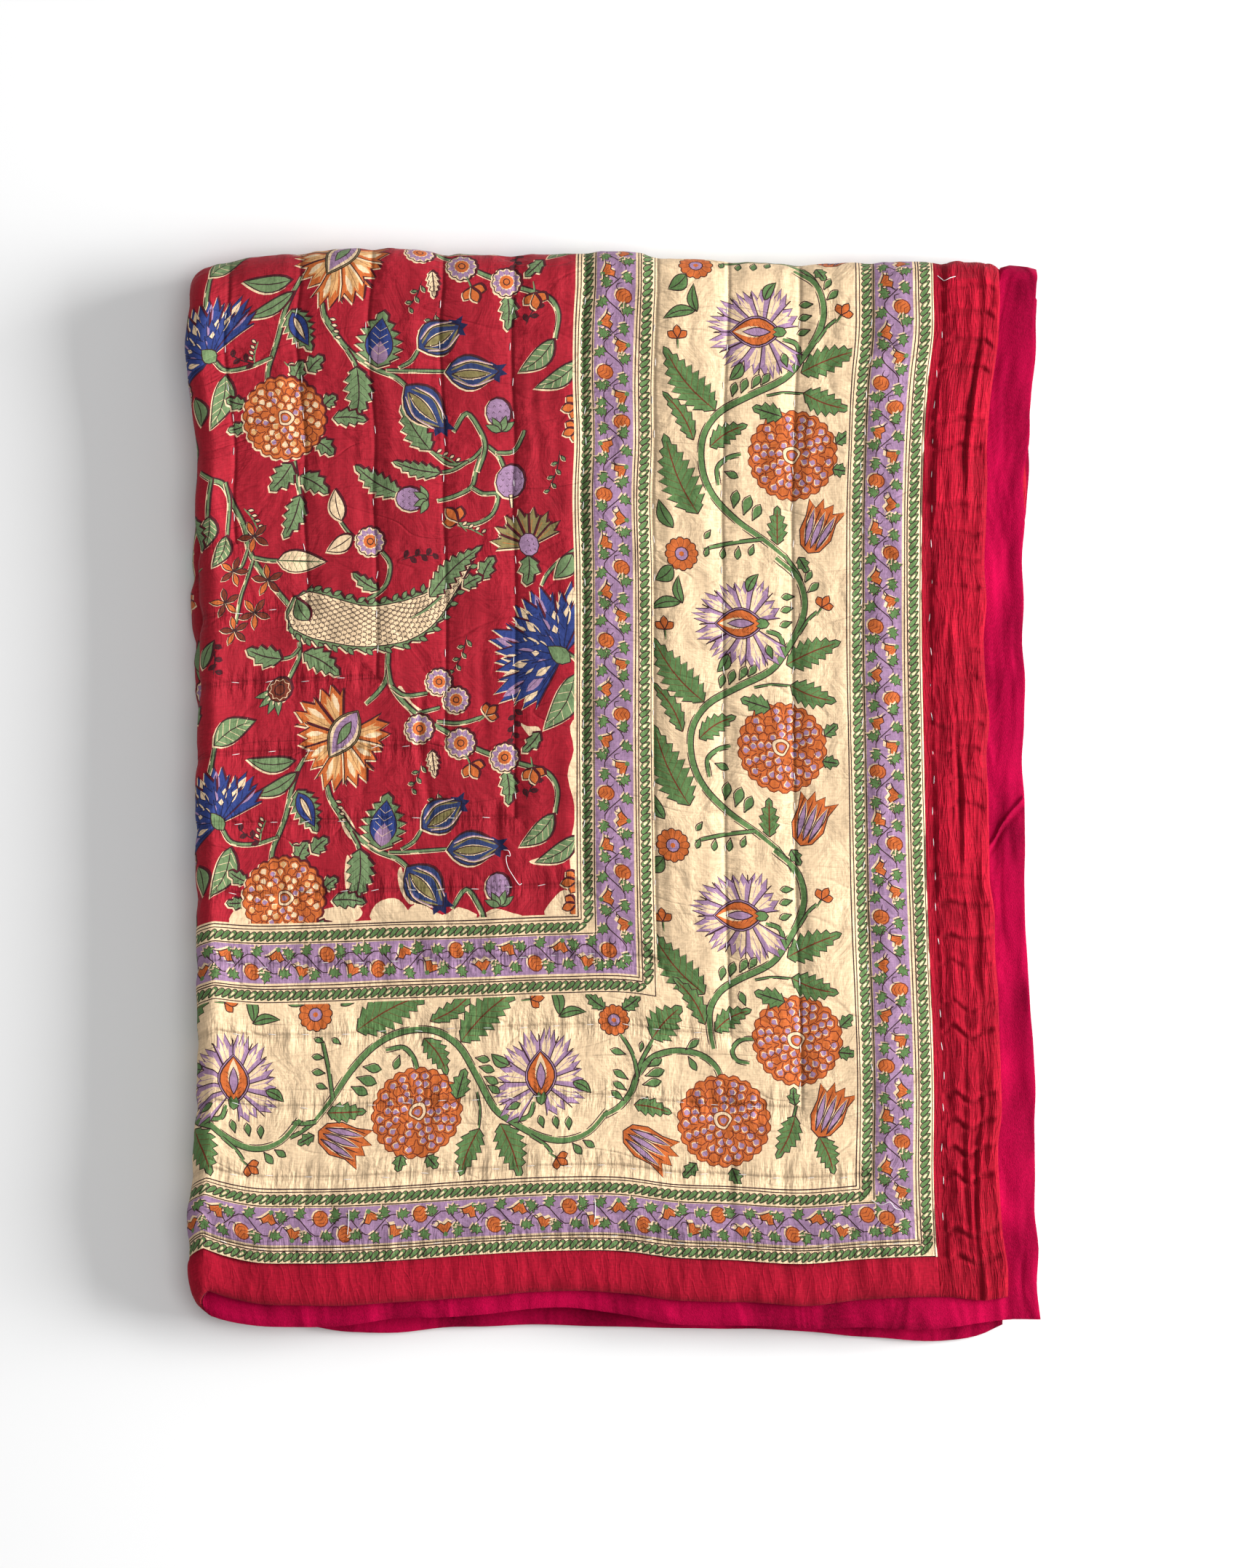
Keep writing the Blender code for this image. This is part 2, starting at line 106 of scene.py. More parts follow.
# The waves along the hems.
SIDE_WAVE = 0.0017
SIDE_WAVE_PITCH = 0.031
END_WAVE = 0.0014
END_WAVE_PITCH = 0.036

# Outline of the sides as seen from above, in mm: the place along, the fold of the upper
# and of the lower pair of layers at the left, and the side hems of layers 1 (the top)
# to 4 (on the table) at the right.
SIDE_COLUMNS = ("y", "fold_upper", "fold_lower", "hem_1", "hem_2", "hem_3", "hem_4")
SIDES = (
    (-420, -331, -329, 310, 334, 304, 308),
    (-385, -335.5, -330, 309, 332, 306, 309),
    (-350, -338.5, -331, 306, 330, 309, 312),
    (-300, -334, -331, 303, 329.5, 313, 316),
    (-240, -330, -330, 303, 328, 317, 320),
    (-60, -329.5, -328, 296.5, 321, 318, 320),
    (60, -328, -330, 293.5, 319.5, 316, 318),
    (125, -326, -332.5, 292, 319.5, 316, 319),
    (175, -326.5, -335.5, 292, 319, 318, 321),
    (240, -330, -330, 293, 320, 322, 325),
    (272, -328.5, -328, 294, 322, 324, 327),
    (330, -334.5, -331, 298.5, 326.5, 326, 330),
    (369, -338, -334, 303.5, 329.5, 328, 333),
    (410, -332, -332, 302, 331, 329, 334),
)

# Outline of the ends as seen from above, in mm: the place across, the fold at the back,
# and the end hems of layers 1 to 4 at the front.
END_COLUMNS = ("x", "fold", "hem_1", "hem_2", "hem_3", "hem_4")
ENDS = (
    (-334, 402, -384, -405, -404, -402),
    (-311, 413.5, -394.5, -414, -410, -410),
    (-285, 420.5, -401.5, -419.5, -414, -416),
    (-250, 424, -403, -420, -419, -418),
    (-216, 427, -403, -419.5, -426, -423.5),
    (-177, 428, -401, -414.5, -421, -423.5),
    (-110, 423, -395.5, -410.5, -415, -418.5),
    (-43, 424.5, -392.5, -405.5, -414, -417.5),
    (10, 426.5, -393.5, -413, -416, -419.5),
    (43, 422, -398, -419, -417, -419.5),
    (90, 420, -400, -419.5, -419, -420.5),
    (145, 418, -403, -422, -421, -423),
    (200, 418, -399, -422, -424, -426.5),
    (262, 418, -397.5, -422.5, -427, -430),
    (290, 416, -399, -418.5, -424, -426),
    (310, 413.5, -396, -416, -416, -417),
    (334, 409.5, -396, -416, -413, -414),
)


def curve(rows, columns, name, place):
    """Read a column of a table as a smooth curve, at places given in metres."""
    table = np.array(rows, dtype=float) * MM
    knots = table[:, 0]
    values = table[:, columns.index(name)]
    slopes = np.gradient(values, knots)
    place = np.clip(place, knots[0], knots[-1])
    low = np.clip(np.searchsorted(knots, place) - 1, 0, len(knots) - 2)
    span = knots[low + 1] - knots[low]
    t = (place - knots[low]) / span
    rise = values[low + 1] - values[low]
    start = slopes[low] * span
    finish = slopes[low + 1] * span
    bend = 3 * rise - 2 * start - finish
    twist = start + finish - 2 * rise
    return values[low] + t * (start + t * (bend + t * twist))


def side(name, y):
    return curve(SIDES, SIDE_COLUMNS, name, y)


def end(name, x):
    return curve(ENDS, END_COLUMNS, name, x)


def blend(first, second, share):
    return first + (second - first) * share


def ease(value):
    """Rise smoothly from 0 to 1 as the value goes from 0 to 1."""
    t = np.clip(value, 0, 1)
    return t * t * (3 - 2 * t)


def hump(value, width):
    """1 where the value is 0, falling away on both sides."""
    return np.exp(-(value / width) ** 2)


def from_side(a):
    """Distance of a flat place from the nearer side hem."""
    return np.minimum(HEM_SIDE - a, a - FAR_SIDE)


def from_end(b):
    """Distance of a flat place from the nearer end hem."""
    return np.minimum(b - HEM_END, FAR_END - b)


def hem_distance(a, b):
    return np.minimum(from_side(a), from_end(b))


def row_sink(a, b):
    """How far the sewn rows draw the cloth in: 1 on a row, 0 on the crown."""
    rows = (hem_distance(a, b) - FIRST_ROW) / ROW_PITCH
    phase = rows - np.floor(rows)
    from_row = np.minimum(phase, 1 - phase)
    inside = hem_distance(a, b) > 0.4 * FIRST_ROW
    return np.where(inside, 1 - ease(from_row / 0.25), 0)


def hem_sink(a, b):
    """Rounding of the edge: 1 at the hem itself, 0 past the round."""
    t = np.clip(1 - hem_distance(a, b) / HEM_ROUND, 0, 1)
    return 1 - np.sqrt(1 - t * t)


# Places along the quilt of the creases that gather the side bands.
CREASE_PLACES = [
    HEM_END + CREASE_PITCH * (number + 0.6) + 0.009 * sin(2.3 * number)
    for number in range(int(LENGTH / CREASE_PITCH))
]


def crease_sink(a, b):
    """Gathering creases across the side bands, 1 in a crease."""
    in_band = ease((from_side(a) - 0.004) / 0.006) * (from_side(a) < SIDE_BAND)
    nearest = np.min(np.abs(np.subtract.outer(b, CREASE_PLACES)), axis=-1)
    return in_band * hump(nearest, 0.007)


def side_thinning(x):
    """The share of its thickness that the stack loses towards its open side."""
    return THINNING_SIDE * ease((x - 0.215) / 0.1)


def layer_thickness(x, y):
    """Thickness of one layer at a place in the folded stack."""
    uneven = 1 + 0.05 * np.sin(x / 0.09 + 0.6) * np.cos(y / 0.12)
    sides = 1 - side_thinning(x)
    ends = 1 - THINNING_END * ease((-y - 0.315) / 0.085)
    return QUILT_THICKNESS * uneven * sides * ends


def print_depth(a, b, thickness):
    """Depth of the printed face under the full thickness."""
    rows = ROW_DEPTH_PRINT * row_sink(a, b)
    creases = CREASE_DEPTH * crease_sink(a, b)
    hem = HEM_ROUND_PRINT * thickness * hem_sink(a, b)
    return rows + creases + hem


def velvet_depth(a, b, thickness):
    """Depth of the velvet face, measured from the printed side."""
    rows = ROW_DEPTH_VELVET * row_sink(a, b)
    hem = HEM_ROUND_VELVET * thickness * hem_sink(a, b)
    return thickness - rows - hem


def panel_back(a, b, thickness):
    """Back of the filled pieces, a hair off the velvet."""
    return thickness - VELVET_THICKNESS - SEAM_GAP


def velvet_inner(a, b, thickness):
    return thickness - VELVET_THICKNESS


def fold_up(a, b, depth):
    """Carry flat points to the folded stack.

    inner is 0 on the outer layers of a pair and 1 on the inner ones, lower is 0 in the
    upper pair and 1 in the lower one, and both rise round their folds. depth gives how
    far a face lies under the outer one, from its place and the thickness there.
    """
    a = np.asarray(a, dtype=float)
    b = np.asarray(b, dtype=float)
    inner = np.clip((FOLD_SIDE - a) / SIDE_ARC, 0, 1)
    lower = np.clip((b - FOLD_END) / END_ARC, 0, 1)
    past_end = np.maximum(b - FOLD_END - END_ARC, 0)
    y_plan = np.minimum(b, FOLD_END) - past_end

    fold_x = blend(side("fold_upper", y_plan), side("fold_lower", y_plan), lower) + FOLD_OUT
    outer_hem = blend(side("hem_1", y_plan), side("hem_4", y_plan), ease(2 * lower - 1))
    inner_hem = blend(side("hem_2", y_plan), side("hem_3", y_plan), lower) + LOWER_HEM_OUT
    hem_x = blend(outer_hem, inner_hem, inner)
    outer_share = (a - FOLD_SIDE) / (HEM_SIDE - FOLD_SIDE)
    inner_share = (FOLD_SIDE - SIDE_ARC - a) / (FOLD_SIDE - SIDE_ARC - FAR_SIDE)
    share = np.clip(np.maximum(outer_share, inner_share), 0, 1)
    fold_start = fold_x + FOLD_SIDE + FOLD_MEAN
    unturned = 1 - 4 * lower * (1 - lower)
    waves = SIDE_WAVE * noise(b / SIDE_WAVE_PITCH, 3 * inner + 5 * lower, 71) * unturned
    x_plan = blend(fold_start, hem_x, share) + waves * ease((share - 0.92) / 0.08)

    thickness = layer_thickness(x_plan, y_plan)
    loop = LAYER_GAP + FOLD_LOOP * np.exp(-(x_plan - fold_start) / FOLD_LOOP_REACH)
    pair = 2 * thickness + loop
    w = depth(a, b, thickness)
    turn = pi * inner
    radius = pair / 2
    x = x_plan - (radius - w) * np.sin(turn)
    height = radius + (radius - w) * np.cos(turn)

    outer_end = blend(end("hem_1", x_plan), end("hem_2", x_plan), inner)
    last_end, third_end = end("hem_4", x_plan) - LAST_END_OUT, end("hem_3", x_plan) + THIRD_END_BACK
    hem_y = blend(outer_end, blend(last_end, third_end, inner), lower)
    flat_hem = blend(HEM_END, LOWER_HEM_END, lower)
    spare = 2 * QUILT_THICKNESS * side_thinning(x_plan)
    past_hem = HIDDEN_END_OUT * ease((x_plan - 0.297) / 0.01) * (inner > 0.5)
    back_y = end("fold", x_plan) - FOLD_TIP + spare + past_hem
    along = np.clip((y_plan - flat_hem) / (FOLD_END - flat_hem), 0, 1)
    end_waves = END_WAVE * noise(a / END_WAVE_PITCH, 7.3 + 5 * lower, 73)
    y_moved = blend(hem_y, back_y, along) + end_waves * ease(1 - along / 0.05)

    throat = LAYER_GAP + FOLD_LOOP * np.exp(-(FOLD_END - y_plan) / FOLD_LOOP_REACH)
    reach = throat / 2 + height
    tip = pi * lower
    y = y_moved + reach * np.sin(tip)
    z = pair + throat / 2 + reach * np.cos(tip)
    z = np.where((z < PRESSED_FLAT) & (lower > 0.99), 0, z)
    return np.stack([x - STACK_MIDDLE[0], y - STACK_MIDDLE[1], z], axis=-1)


# Line widths of the print, in mm.
FINE = 0.85
LIGHT = 0.9 * FINE
THIN = 0.8 * FINE
MEDIUM = 1.05
BROAD = 1.5


def left_of(path):
    """Unit normals of a path, to its left."""
    step = np.gradient(path, axis=0)
    size = np.maximum(np.hypot(step[:, 0], step[:, 1]), 1e-9)
    return np.stack([-step[:, 1], step[:, 0]], axis=1) / size[:, None]


class Pen:
    """Draws inked shapes on the flat cloth, in mm, from a motif's own coordinates.

    A pen on the red ground leaves bare cloth round its motifs and has a duller
    green. A pen that isn't fine leaves out every line but the broad ones.
    """

    def __init__(self, shapes, matrix=None, origin=(0, 0), on_red=False, fine=True):
        self.shapes = shapes
        self.matrix = np.eye(2) if matrix is None else matrix
        self.origin = np.array(origin, dtype=float)
        self.on_red = on_red
        self.fine = fine

    def at(self, x, y, turn=0, scale=1, flip=1):
        """The same pen moved, turned by degrees, scaled, and mirrored if flip is -1."""
        angle = radians(turn)
        c, s = cos(angle) * scale, sin(angle) * scale
        local = np.array([[c, -s * flip], [s, c * flip]])
        origin = self.matrix @ np.array([x, y]) + self.origin
        return Pen(self.shapes, self.matrix @ local, origin, self.on_red, self.fine)

    def place(self, points):
        return np.asarray(points, dtype=float) @ self.matrix.T + self.origin

    def put(self, ink, outline):
        if self.on_red and ink == "green":
            ink = "sage"
        self.shapes.append((ink, outline))

    def fill(self, ink, points, shift=(0, 0)):
        """A flat shape. The shift is how far its block slipped on the cloth."""
        self.put(ink, self.place(points) + np.array(shift))

    def line(self, ink, points, width, taper=0.35):
        """A brushed line, thinner at its ends, as a strip of small quads."""
        if not self.fine and width < BROAD:
            return
        path = self.place(points)
        t = np.linspace(0, 1, len(path))
        swell = taper + (1 - taper) * np.minimum(1, 5 * np.minimum(t, 1 - t))
        half = (0.5 * width * swell)[:, None] * left_of(path)
        left, right = path + half, path - half
        for i in range(len(path) - 1):
            self.put(ink, np.array([left[i], left[i + 1], right[i + 1], right[i]]))

    def draw(self, points, width=FINE, taper=0.35):
        """A dark line."""
        self.line("dark", points, width, taper)

    def edge(self, points, ink="dark", width=FINE):
        """A line round a shape."""
        self.line(ink, np.concatenate([points, points[:1]]), width, taper=1)

    def stamp(self, ink, points, edge="dark", width=FINE, shift=(0, 0)):
        """A flat shape with a line round it."""
        self.fill(ink, points, shift)
        self.edge(points, edge, width)

    def bare(self, points, margin=1.3):
        """On the red ground the printer leaves bare cloth a little past each motif."""
        if self.on_red:
            self.fill("cream", grown(points, 0.7 * margin), shift=(-0.6, -0.8))
            self.fill("shade", grown(points, 1), shift=(0.9, 0.5))


def smooth(points, steps=5, closed=False):
    """A smooth curve through the points."""
    p = np.asarray(points, dtype=float)
    if closed:
        p = np.concatenate([p[-1:], p, p[:2]])
    else:
        p = np.concatenate([2 * p[:1] - p[1:2], p, 2 * p[-1:] - p[-2:-1]])
    t = np.linspace(0, 1, steps, endpoint=False)[:, None]
    parts = []
    for a, b, c, d in zip(p, p[1:], p[2:], p[3:]):
        bend = 2 * a - 5 * b + 4 * c - d + t * (3 * (b - c) + d - a)
        parts.append(b + 0.5 * t * (c - a + t * bend))
    if not closed:
        parts.append(p[-2:-1])
    return np.concatenate(parts)


def ellipse(rx, ry, count=12, cx=0, cy=0):
    t = np.linspace(0, 2 * pi, count, endpoint=False)
    return np.c_[cx + rx * np.cos(t), cy + ry * np.sin(t)]


def grown(points, margin):
    """The outline pushed outwards by a margin."""
    p = np.asarray(points, dtype=float)
    ahead = np.roll(p, -1, axis=0) - np.roll(p, 1, axis=0)
    size = np.maximum(np.hypot(ahead[:, 0], ahead[:, 1]), 1e-9)
    normal = np.stack([ahead[:, 1], -ahead[:, 0]], axis=1) / size[:, None]
    area = np.sum(p[:, 0] * np.roll(p[:, 1], -1) - np.roll(p[:, 0], -1) * p[:, 1])
    return p + normal * margin * (1 if area > 0 else -1)


def teardrop(length, width, count=5, tip=0.6):
    """A drop-shaped petal from the origin along +x. A small tip is full near its root."""
    t = np.linspace(0, 1, count + 2)[1:-1]
    half = 0.5 * width * np.sin(pi * t ** tip)
    upper = np.c_[length * t, half]
    lower = np.stack([length * t[::-1], -half[::-1]], axis=1)
    return np.concatenate([[(0, 0)], upper, [(length, 0)], lower])


def jagged_petal(length, width, teeth=3, flare=0.7):
    """A petal widening from the origin along +x to a ragged end."""
    left = [(0, 0), (0.3 * length, 0.2 * width), (0.6 * length, 0.4 * width)]
    right = [(0.6 * length, -0.4 * width), (0.3 * length, -0.2 * width)]
    ragged = []
    for k in range(2 * teeth + 1):
        y = width * 0.5 * (1 - k / teeth)
        reach = 1 - 0.14 * abs(y / width) if k % 2 == 0 else 0.76
        ragged.append((length * (reach - 0.1 * (2 * y / width) ** 2), y * (flare + 0.45)))
    return np.array(left + ragged + right)


def scalloped(radius, petals, depth):
    """The edge of a round flower, which bows out at each petal."""
    t = np.linspace(0, 2 * pi, petals * 3, endpoint=False)
    reach = radius * (1 - depth + depth * np.abs(np.sin(t * petals / 2)))
    return np.c_[reach * np.cos(t), reach * np.sin(t)]


def smooth_leaf(length, width, bend, tip):
    """The edge of a leaf along +x that has no teeth."""
    t = np.linspace(0, 1, 9)
    half = 0.5 * width * np.sin(pi * t ** tip)
    spine = bend * length * np.sin(pi * t)
    upper, lower = np.c_[length * t, spine + half], np.c_[length * t, spine - half]
    return np.concatenate([upper, lower[-2:0:-1]])


def midrib(length, bend, reach, count):
    t = np.linspace(0, reach, count)
    return np.c_[length * t, bend * length * np.sin(pi * t)]


def toothed_leaf(pen, length, width, bend, teeth, vein="dark", ink="green"):
    """A leaf along +x with forward teeth, a midrib and side veins."""
    t = np.linspace(0, 1, 2 * teeth + 1)
    tooth = np.arange(len(t)) % 2 == 1
    half = 0.5 * width * np.sin(pi * t ** 0.72) ** 0.8 * np.where(tooth, 1.22, 0.76)
    x = length * (t + np.where(tooth, 0.2, -0.08) / teeth)
    spine = bend * length * np.sin(pi * t)
    upper, lower = np.c_[x, spine + half], np.c_[x, spine - half]
    tip = [(length * 1.03, 0)]
    outline = np.concatenate([[(0, 0)], upper[1:-1], tip, lower[-2:0:-1]])
    pen.bare(outline)
    pen.stamp(ink, outline, shift=(0.25, -0.2))
    pen.line(vein, midrib(length, bend, 0.93, 6), MEDIUM)
    for k in range(1, teeth):
        at = k / teeth
        reach = 0.36 * width * sin(pi * at ** 0.72) ** 0.8
        root = np.array([length * at * 0.92, bend * length * sin(pi * at)])
        for side in (-1, 1):
            pen.line(vein, [root, root + (0.75 * reach + 0.02 * length, side * reach)], FINE)


def plain_leaf(pen, length, width, bend, ink="green", striped=False):
    """A smooth leaf along +x with a midrib."""
    outline = smooth_leaf(length, width, bend, 0.8)
    pen.bare(outline)
    pen.fill(ink, outline, shift=(0.3, -0.2))
    for at in np.linspace(0.2, 0.85, 5) if striped else ():
        reach = 0.5 * width * sin(pi * at ** 0.8)
        root = np.array([length * (at - 0.1), bend * length * sin(pi * at)])
        for side in (-1, 1):
            pen.line("cream", [root, root + (0.14 * length, side * reach * 0.9)], 1.1)
    pen.edge(outline)
    pen.draw(midrib(length, bend, 0.9, 5))


def veined_leaf(pen, length, width):
    """A bare leaf with green stripes."""
    outline = smooth_leaf(length, width, 0, 0.7)
    pen.bare(outline, margin=0.6)
    pen.fill("cream", outline)
    for at in np.linspace(0.12, 0.85, 7):
        reach = 0.46 * width * sin(pi * at ** 0.7)
        for side in (-1, 1):
            pen.line("green", [(length * (at - 0.04), 0), (length * (at + 0.06), side * reach)], 1.2)
    pen.line("green", [(0, 0), (length * 0.5, 0), (length * 0.95, 0)], 1.2)
    pen.edge(outline)
    pen.draw([(0, 0.4), (length * 0.5, 0.5), (length * 0.9, 0.3)])


def comma(pen, length, width):
    """A small drop leaf along +x, lying a little past its line as the blocks slip."""
    drop = teardrop(length, width, 4, 1.4)
    pen.bare(drop, margin=0.9)
    pen.stamp("green", drop, shift=(0.6, -0.5))


def stem(pen, points, width, steps=5):
    """A printed stem with a dark line along each side, one of them broken."""
    path = smooth(points, steps)
    if pen.on_red:
        pen.line("cream", path + (-0.4, -0.5), width + 1.6, taper=0.8)
        pen.line("shade", path + (0.8, 0.3), width + 0.8, taper=0.8)
    pen.line("green", path, width, taper=0.6)
    normal = left_of(path)
    pen.draw(path + normal * width * 0.52, taper=0.7)
    lower = path - normal * width * 0.62
    for first in range(0, len(lower) - 3, 5):
        pen.draw(lower[first : first + 5], taper=0.7)


PETAL_ARCH = np.array([(0, -0.46), (0.7, -0.414), (1, 0), (0.7, 0.414), (0, 0.46)])


def marigold(pen, radius, petal="orange", inner=("lilac",)):
    """A round flower of petals in rings, each with a coloured drop."""
    edge = scalloped(radius, 22, 0.07)
    pen.bare(edge)
    pen.stamp(petal, edge, edge="brown")
    for ring, (share, number) in enumerate(((0.86, 20), (0.69, 17), (0.52, 13), (0.35, 9))):
        for k in range(number):
            turn = 360 * (k + 0.5 * (ring % 2)) / number + 4 * sin(3.1 * k + ring)
            spot = pen.at(0, 0, turn).at(radius * (share - 0.15), 0)
            reach = radius * 0.19
            spread = 2 * pi * radius * share / number
            spot.at(radius * 0.02, 0).line("brown", PETAL_ARCH * (reach, spread), FINE, taper=0.8)
            if (k * 7 + ring * 3) % 6 != 0:
                drop = teardrop(reach * 0.86, spread * 0.6, 3, 1.5)
                spot.fill("cream", drop)
                spot.at(0.35, 0.45).fill(inner[(k + ring) % len(inner)], drop * (0.92, 0.82))
    heart = [(6, 0), (2.5, 4.2), (-2.5, 3.8), (-3.2, 0), (-2.5, -3.8), (2.5, -4.2)]
    heart = smooth(heart, 3, closed=True) * radius / 36
    pen.stamp("cream", heart * 1.5, edge="brown")
    pen.fill(petal, heart * 0.9)
    pen.fill(inner[0], heart * 0.5)
    pen.edge(heart * 0.9, "brown")


def draw_ticks(pen, radius, places, shape):
    """Pairs of short lines along a heart: how far out they start, run and end."""
    start, run, finish = shape
    for x in places:
        for side in (-1, 1):
            tick = np.array([(x, side * start), (x + run, side * finish)])
            pen.draw(radius * tick)


def fan_flower(pen, radius):
    """A lilac flower seen from the side: ragged petals round a pointed heart."""
    petals = (
        (-148, 0.86, 0.52), (-116, 1.06, 0.5), (-84, 0.98, 0.56), (-56, 1.06, 0.48),
        (-30, 1.22, 0.42), (-8, 1.3, 0.4), (14, 1.26, 0.42), (40, 1.14, 0.46),
        (70, 1.02, 0.54), (102, 1.1, 0.52), (134, 1.2, 0.54),
    )
    for k, (turn, reach, spread) in enumerate(petals):
        size, wide = radius * reach, radius * spread
        root = pen.at(-radius * 0.08, 0, turn + 3 * sin(k))
        shape = jagged_petal(size, wide, 3 + k % 2)
        root.bare(shape)
        root.fill("lilac", shape)
        root.at(size * 0.08, wide * 0.05).fill("cream", shape * (0.8, 0.52))
        root.edge(shape)
        root.line("lilac", [(0.42 * size, 0), (0.74 * size, 0.06 * wide)], MEDIUM * 1.3)
    heart = teardrop(radius * 1.06, radius * 0.62, 6, 0.95)
    core = pen.at(-radius * 0.44, 0)
    core.stamp("lilac", grown(heart, 1.6))
    core.stamp("orange", heart, width=MEDIUM)
    inner = teardrop(radius * 0.62, radius * 0.2, 4, 0.95)
    middle = core.at(radius * 0.2, 0)
    middle.fill("cream", inner * 1.3)
    middle.stamp("lilac", inner)
    draw_ticks(core, radius, 0.12 + 0.1 * np.arange(6), (0.09, 0.07, 0.17))
    calyx = [
        (0, -3.4), (4.5, -4.2), (8.5, -2.2), (5.5, 0), (8.5, 2.2), (4.5, 4.2), (0, 3.4), (-2.5, 0),
    ]
    core.at(-radius * 0.08, 0, 0, radius / 36).stamp("green", calyx)


def tulip(pen, length, width):
    """A closed flower along +x with pointed petals and long stripes."""
    size = np.array([length, width])
    shape = size * [
        (0, 0), (0.1, -0.3), (0.38, -0.5), (0.7, -0.46), (1, -0.62), (0.86, -0.26),
        (1.04, -0.18), (0.9, 0.04), (1.08, 0.16), (0.86, 0.28), (0.98, 0.56), (0.66, 0.46),
        (0.36, 0.48), (0.1, 0.3),
    ]
    pen.bare(shape)
    pen.stamp("orange", shape)
    for side in (-0.3, -0.02, 0.26):
        blade = teardrop(length * 0.74, width * 0.17, 4, 0.9)
        slot = pen.at(length * 0.1, side * width * 0.6, side * 30)
        slot.fill("cream", blade * (1.04, 1.5))
        slot.stamp("lilac", blade, width=LIGHT)
    for side in (-0.42, 0.4, 0.13, -0.17):
        rib = size * [(0.12, side * 0.4), (0.55, side * 0.95), (0.9, side)]
        pen.draw(smooth(rib, 3))


def rosette(pen, radius, petals):
    """A small round orange flower of even petals."""
    edge = scalloped(radius, petals, 0.12)
    pen.bare(edge)
    pen.stamp("orange", edge, shift=(0.3, -0.3))
    for k in range(petals):
        spoke = pen.at(0, 0, 360 * k / petals)
        spoke.draw([(radius * 0.42, 0), (radius * 0.86, 0)], LIGHT)
    pen.stamp("lilac", ellipse(radius * 0.4, radius * 0.4, 10))
    pen.fill("orange", ellipse(radius * 0.16, radius * 0.16, 6))


def daisy(pen, radius):
    """A lilac and cream flower with an orange middle."""
    edge = scalloped(radius, 11, 0.1)
    pen.bare(edge)
    pen.fill("cream", edge)
    for k in range(11):
        drop = teardrop(radius * 0.5, radius * 0.42, 3)
        pen.at(0, 0, 360 * (k + 0.5) / 11).at(radius * 0.46, 0).fill("lilac", drop)
        spoke = pen.at(0, 0, 360 * k / 11)
        spoke.draw([(radius * 0.5, 0), (radius * 0.95, 0)], LIGHT)
    pen.edge(edge)
    pen.fill("orange", ellipse(radius * 0.48, radius * 0.46, 12))
    pen.edge(ellipse(radius * 0.22, radius * 0.22, 8))


def star_flower(pen, radius):
    """A small open flower of five thin petals."""
    for k in range(5):
        root = pen.at(0, 0, 72 * k + 18)
        shape = teardrop(radius, radius * 0.38, 3, 1.2)
        root.fill("cream", grown(shape, 0.4), shift=(-0.4, -0.4))
        root.stamp("orange" if k % 2 else "brown", shape)
        root.draw([(0, 0), (radius * 0.6, 0)], THIN)
    pen.fill("dark", ellipse(0.7, 0.7, 6))


def small_bud(pen, size):
    """Three round petals on a short stalk, along +x."""
    pen.line("green", [(-size * 0.6, 0), (0, 0), (size * 0.25, 0)], 1.6)
    pen.draw([(-size * 0.6, 0.9), (0, 0.8), (size * 0.25, 0.6)])
    for turn, reach in ((-52, 0.86), (52, 0.86), (0, 1)):
        shape = teardrop(size * reach, size * 0.56, 4, 1.35)
        root = pen.at(size * 0.1, 0, turn)
        root.bare(shape, margin=0.8)
        root.stamp("orange", shape, shift=(0.3, -0.3))


def brown_bud(pen, radius):
    """A scaled brown bud above a pale cup, along +x."""
    body = ellipse(radius, radius * 0.92, 11)
    pen.bare(body)
    for turn in (-40, -14, 14, 40):
        sepal = teardrop(radius * 1.9, radius * 0.6, 3, 0.9)
        root = pen.at(radius * 0.2, 0, turn)
        root.fill("green", sepal)
        root.fill("cream", sepal * 0.6, shift=(0.4, 0.2))
        root.edge(sepal)
    pen.fill("brown", body)
    for k in range(9):
        arc = pen.at(0, 0, 40 * k).at(radius * 0.72, 0)
        arc.line("cream", [(-1, -2.4), (1.2, 0), (-1, 2.4)], 0.8)
    pen.edge(body)
    pen.edge(ellipse(radius * 0.45, radius * 0.4, 8))


def pod(pen, length, width):
    """A blue seed pod along +x, striped, with a toothed tip."""
    size = np.array([length, width])
    body = teardrop(length, width, 7, 0.85)
    pen.bare(body)
    pen.fill("navy", size * [
        (0.86, -0.2), (1, -0.34), (1.02, -0.14), (1.16, -0.1), (1.06, 0.04), (1.16, 0.2),
        (0.98, 0.18), (0.86, 0.3),
    ])
    pen.stamp("slate", body, width=MEDIUM)
    for side in (-0.2, 0.16):
        rib = size * [(0.12, side * 0.4), (0.5, side * 1.98), (0.92, side * 0.4)]
        pen.line("olive", smooth(rib, 4), 2)
    blade = teardrop(length * 0.72, width * 0.24, 5, 0.9)
    middle = pen.at(length * 0.12, -width * 0.05)
    middle.fill("cream", blade * (1.03, 1.35))
    middle.stamp("olive", blade)
    for side in (-0.4, 0.34):
        rib = smooth(size * [(0.14, side * 0.5), (0.5, side), (0.9, side * 0.55)], 4)
        pen.line("lilac", rib + (0, 0.5), 1.3)
        pen.line("cream", rib, 0.7)
        pen.draw(rib - (0, 0.9))
    for k in range(5):
        x, y = length * (0.25 + 0.13 * k), -width * 0.21 * sin(0.5 + 0.55 * k)
        pen.fill("cream", ellipse(0.5, 0.5, 5, x, y))


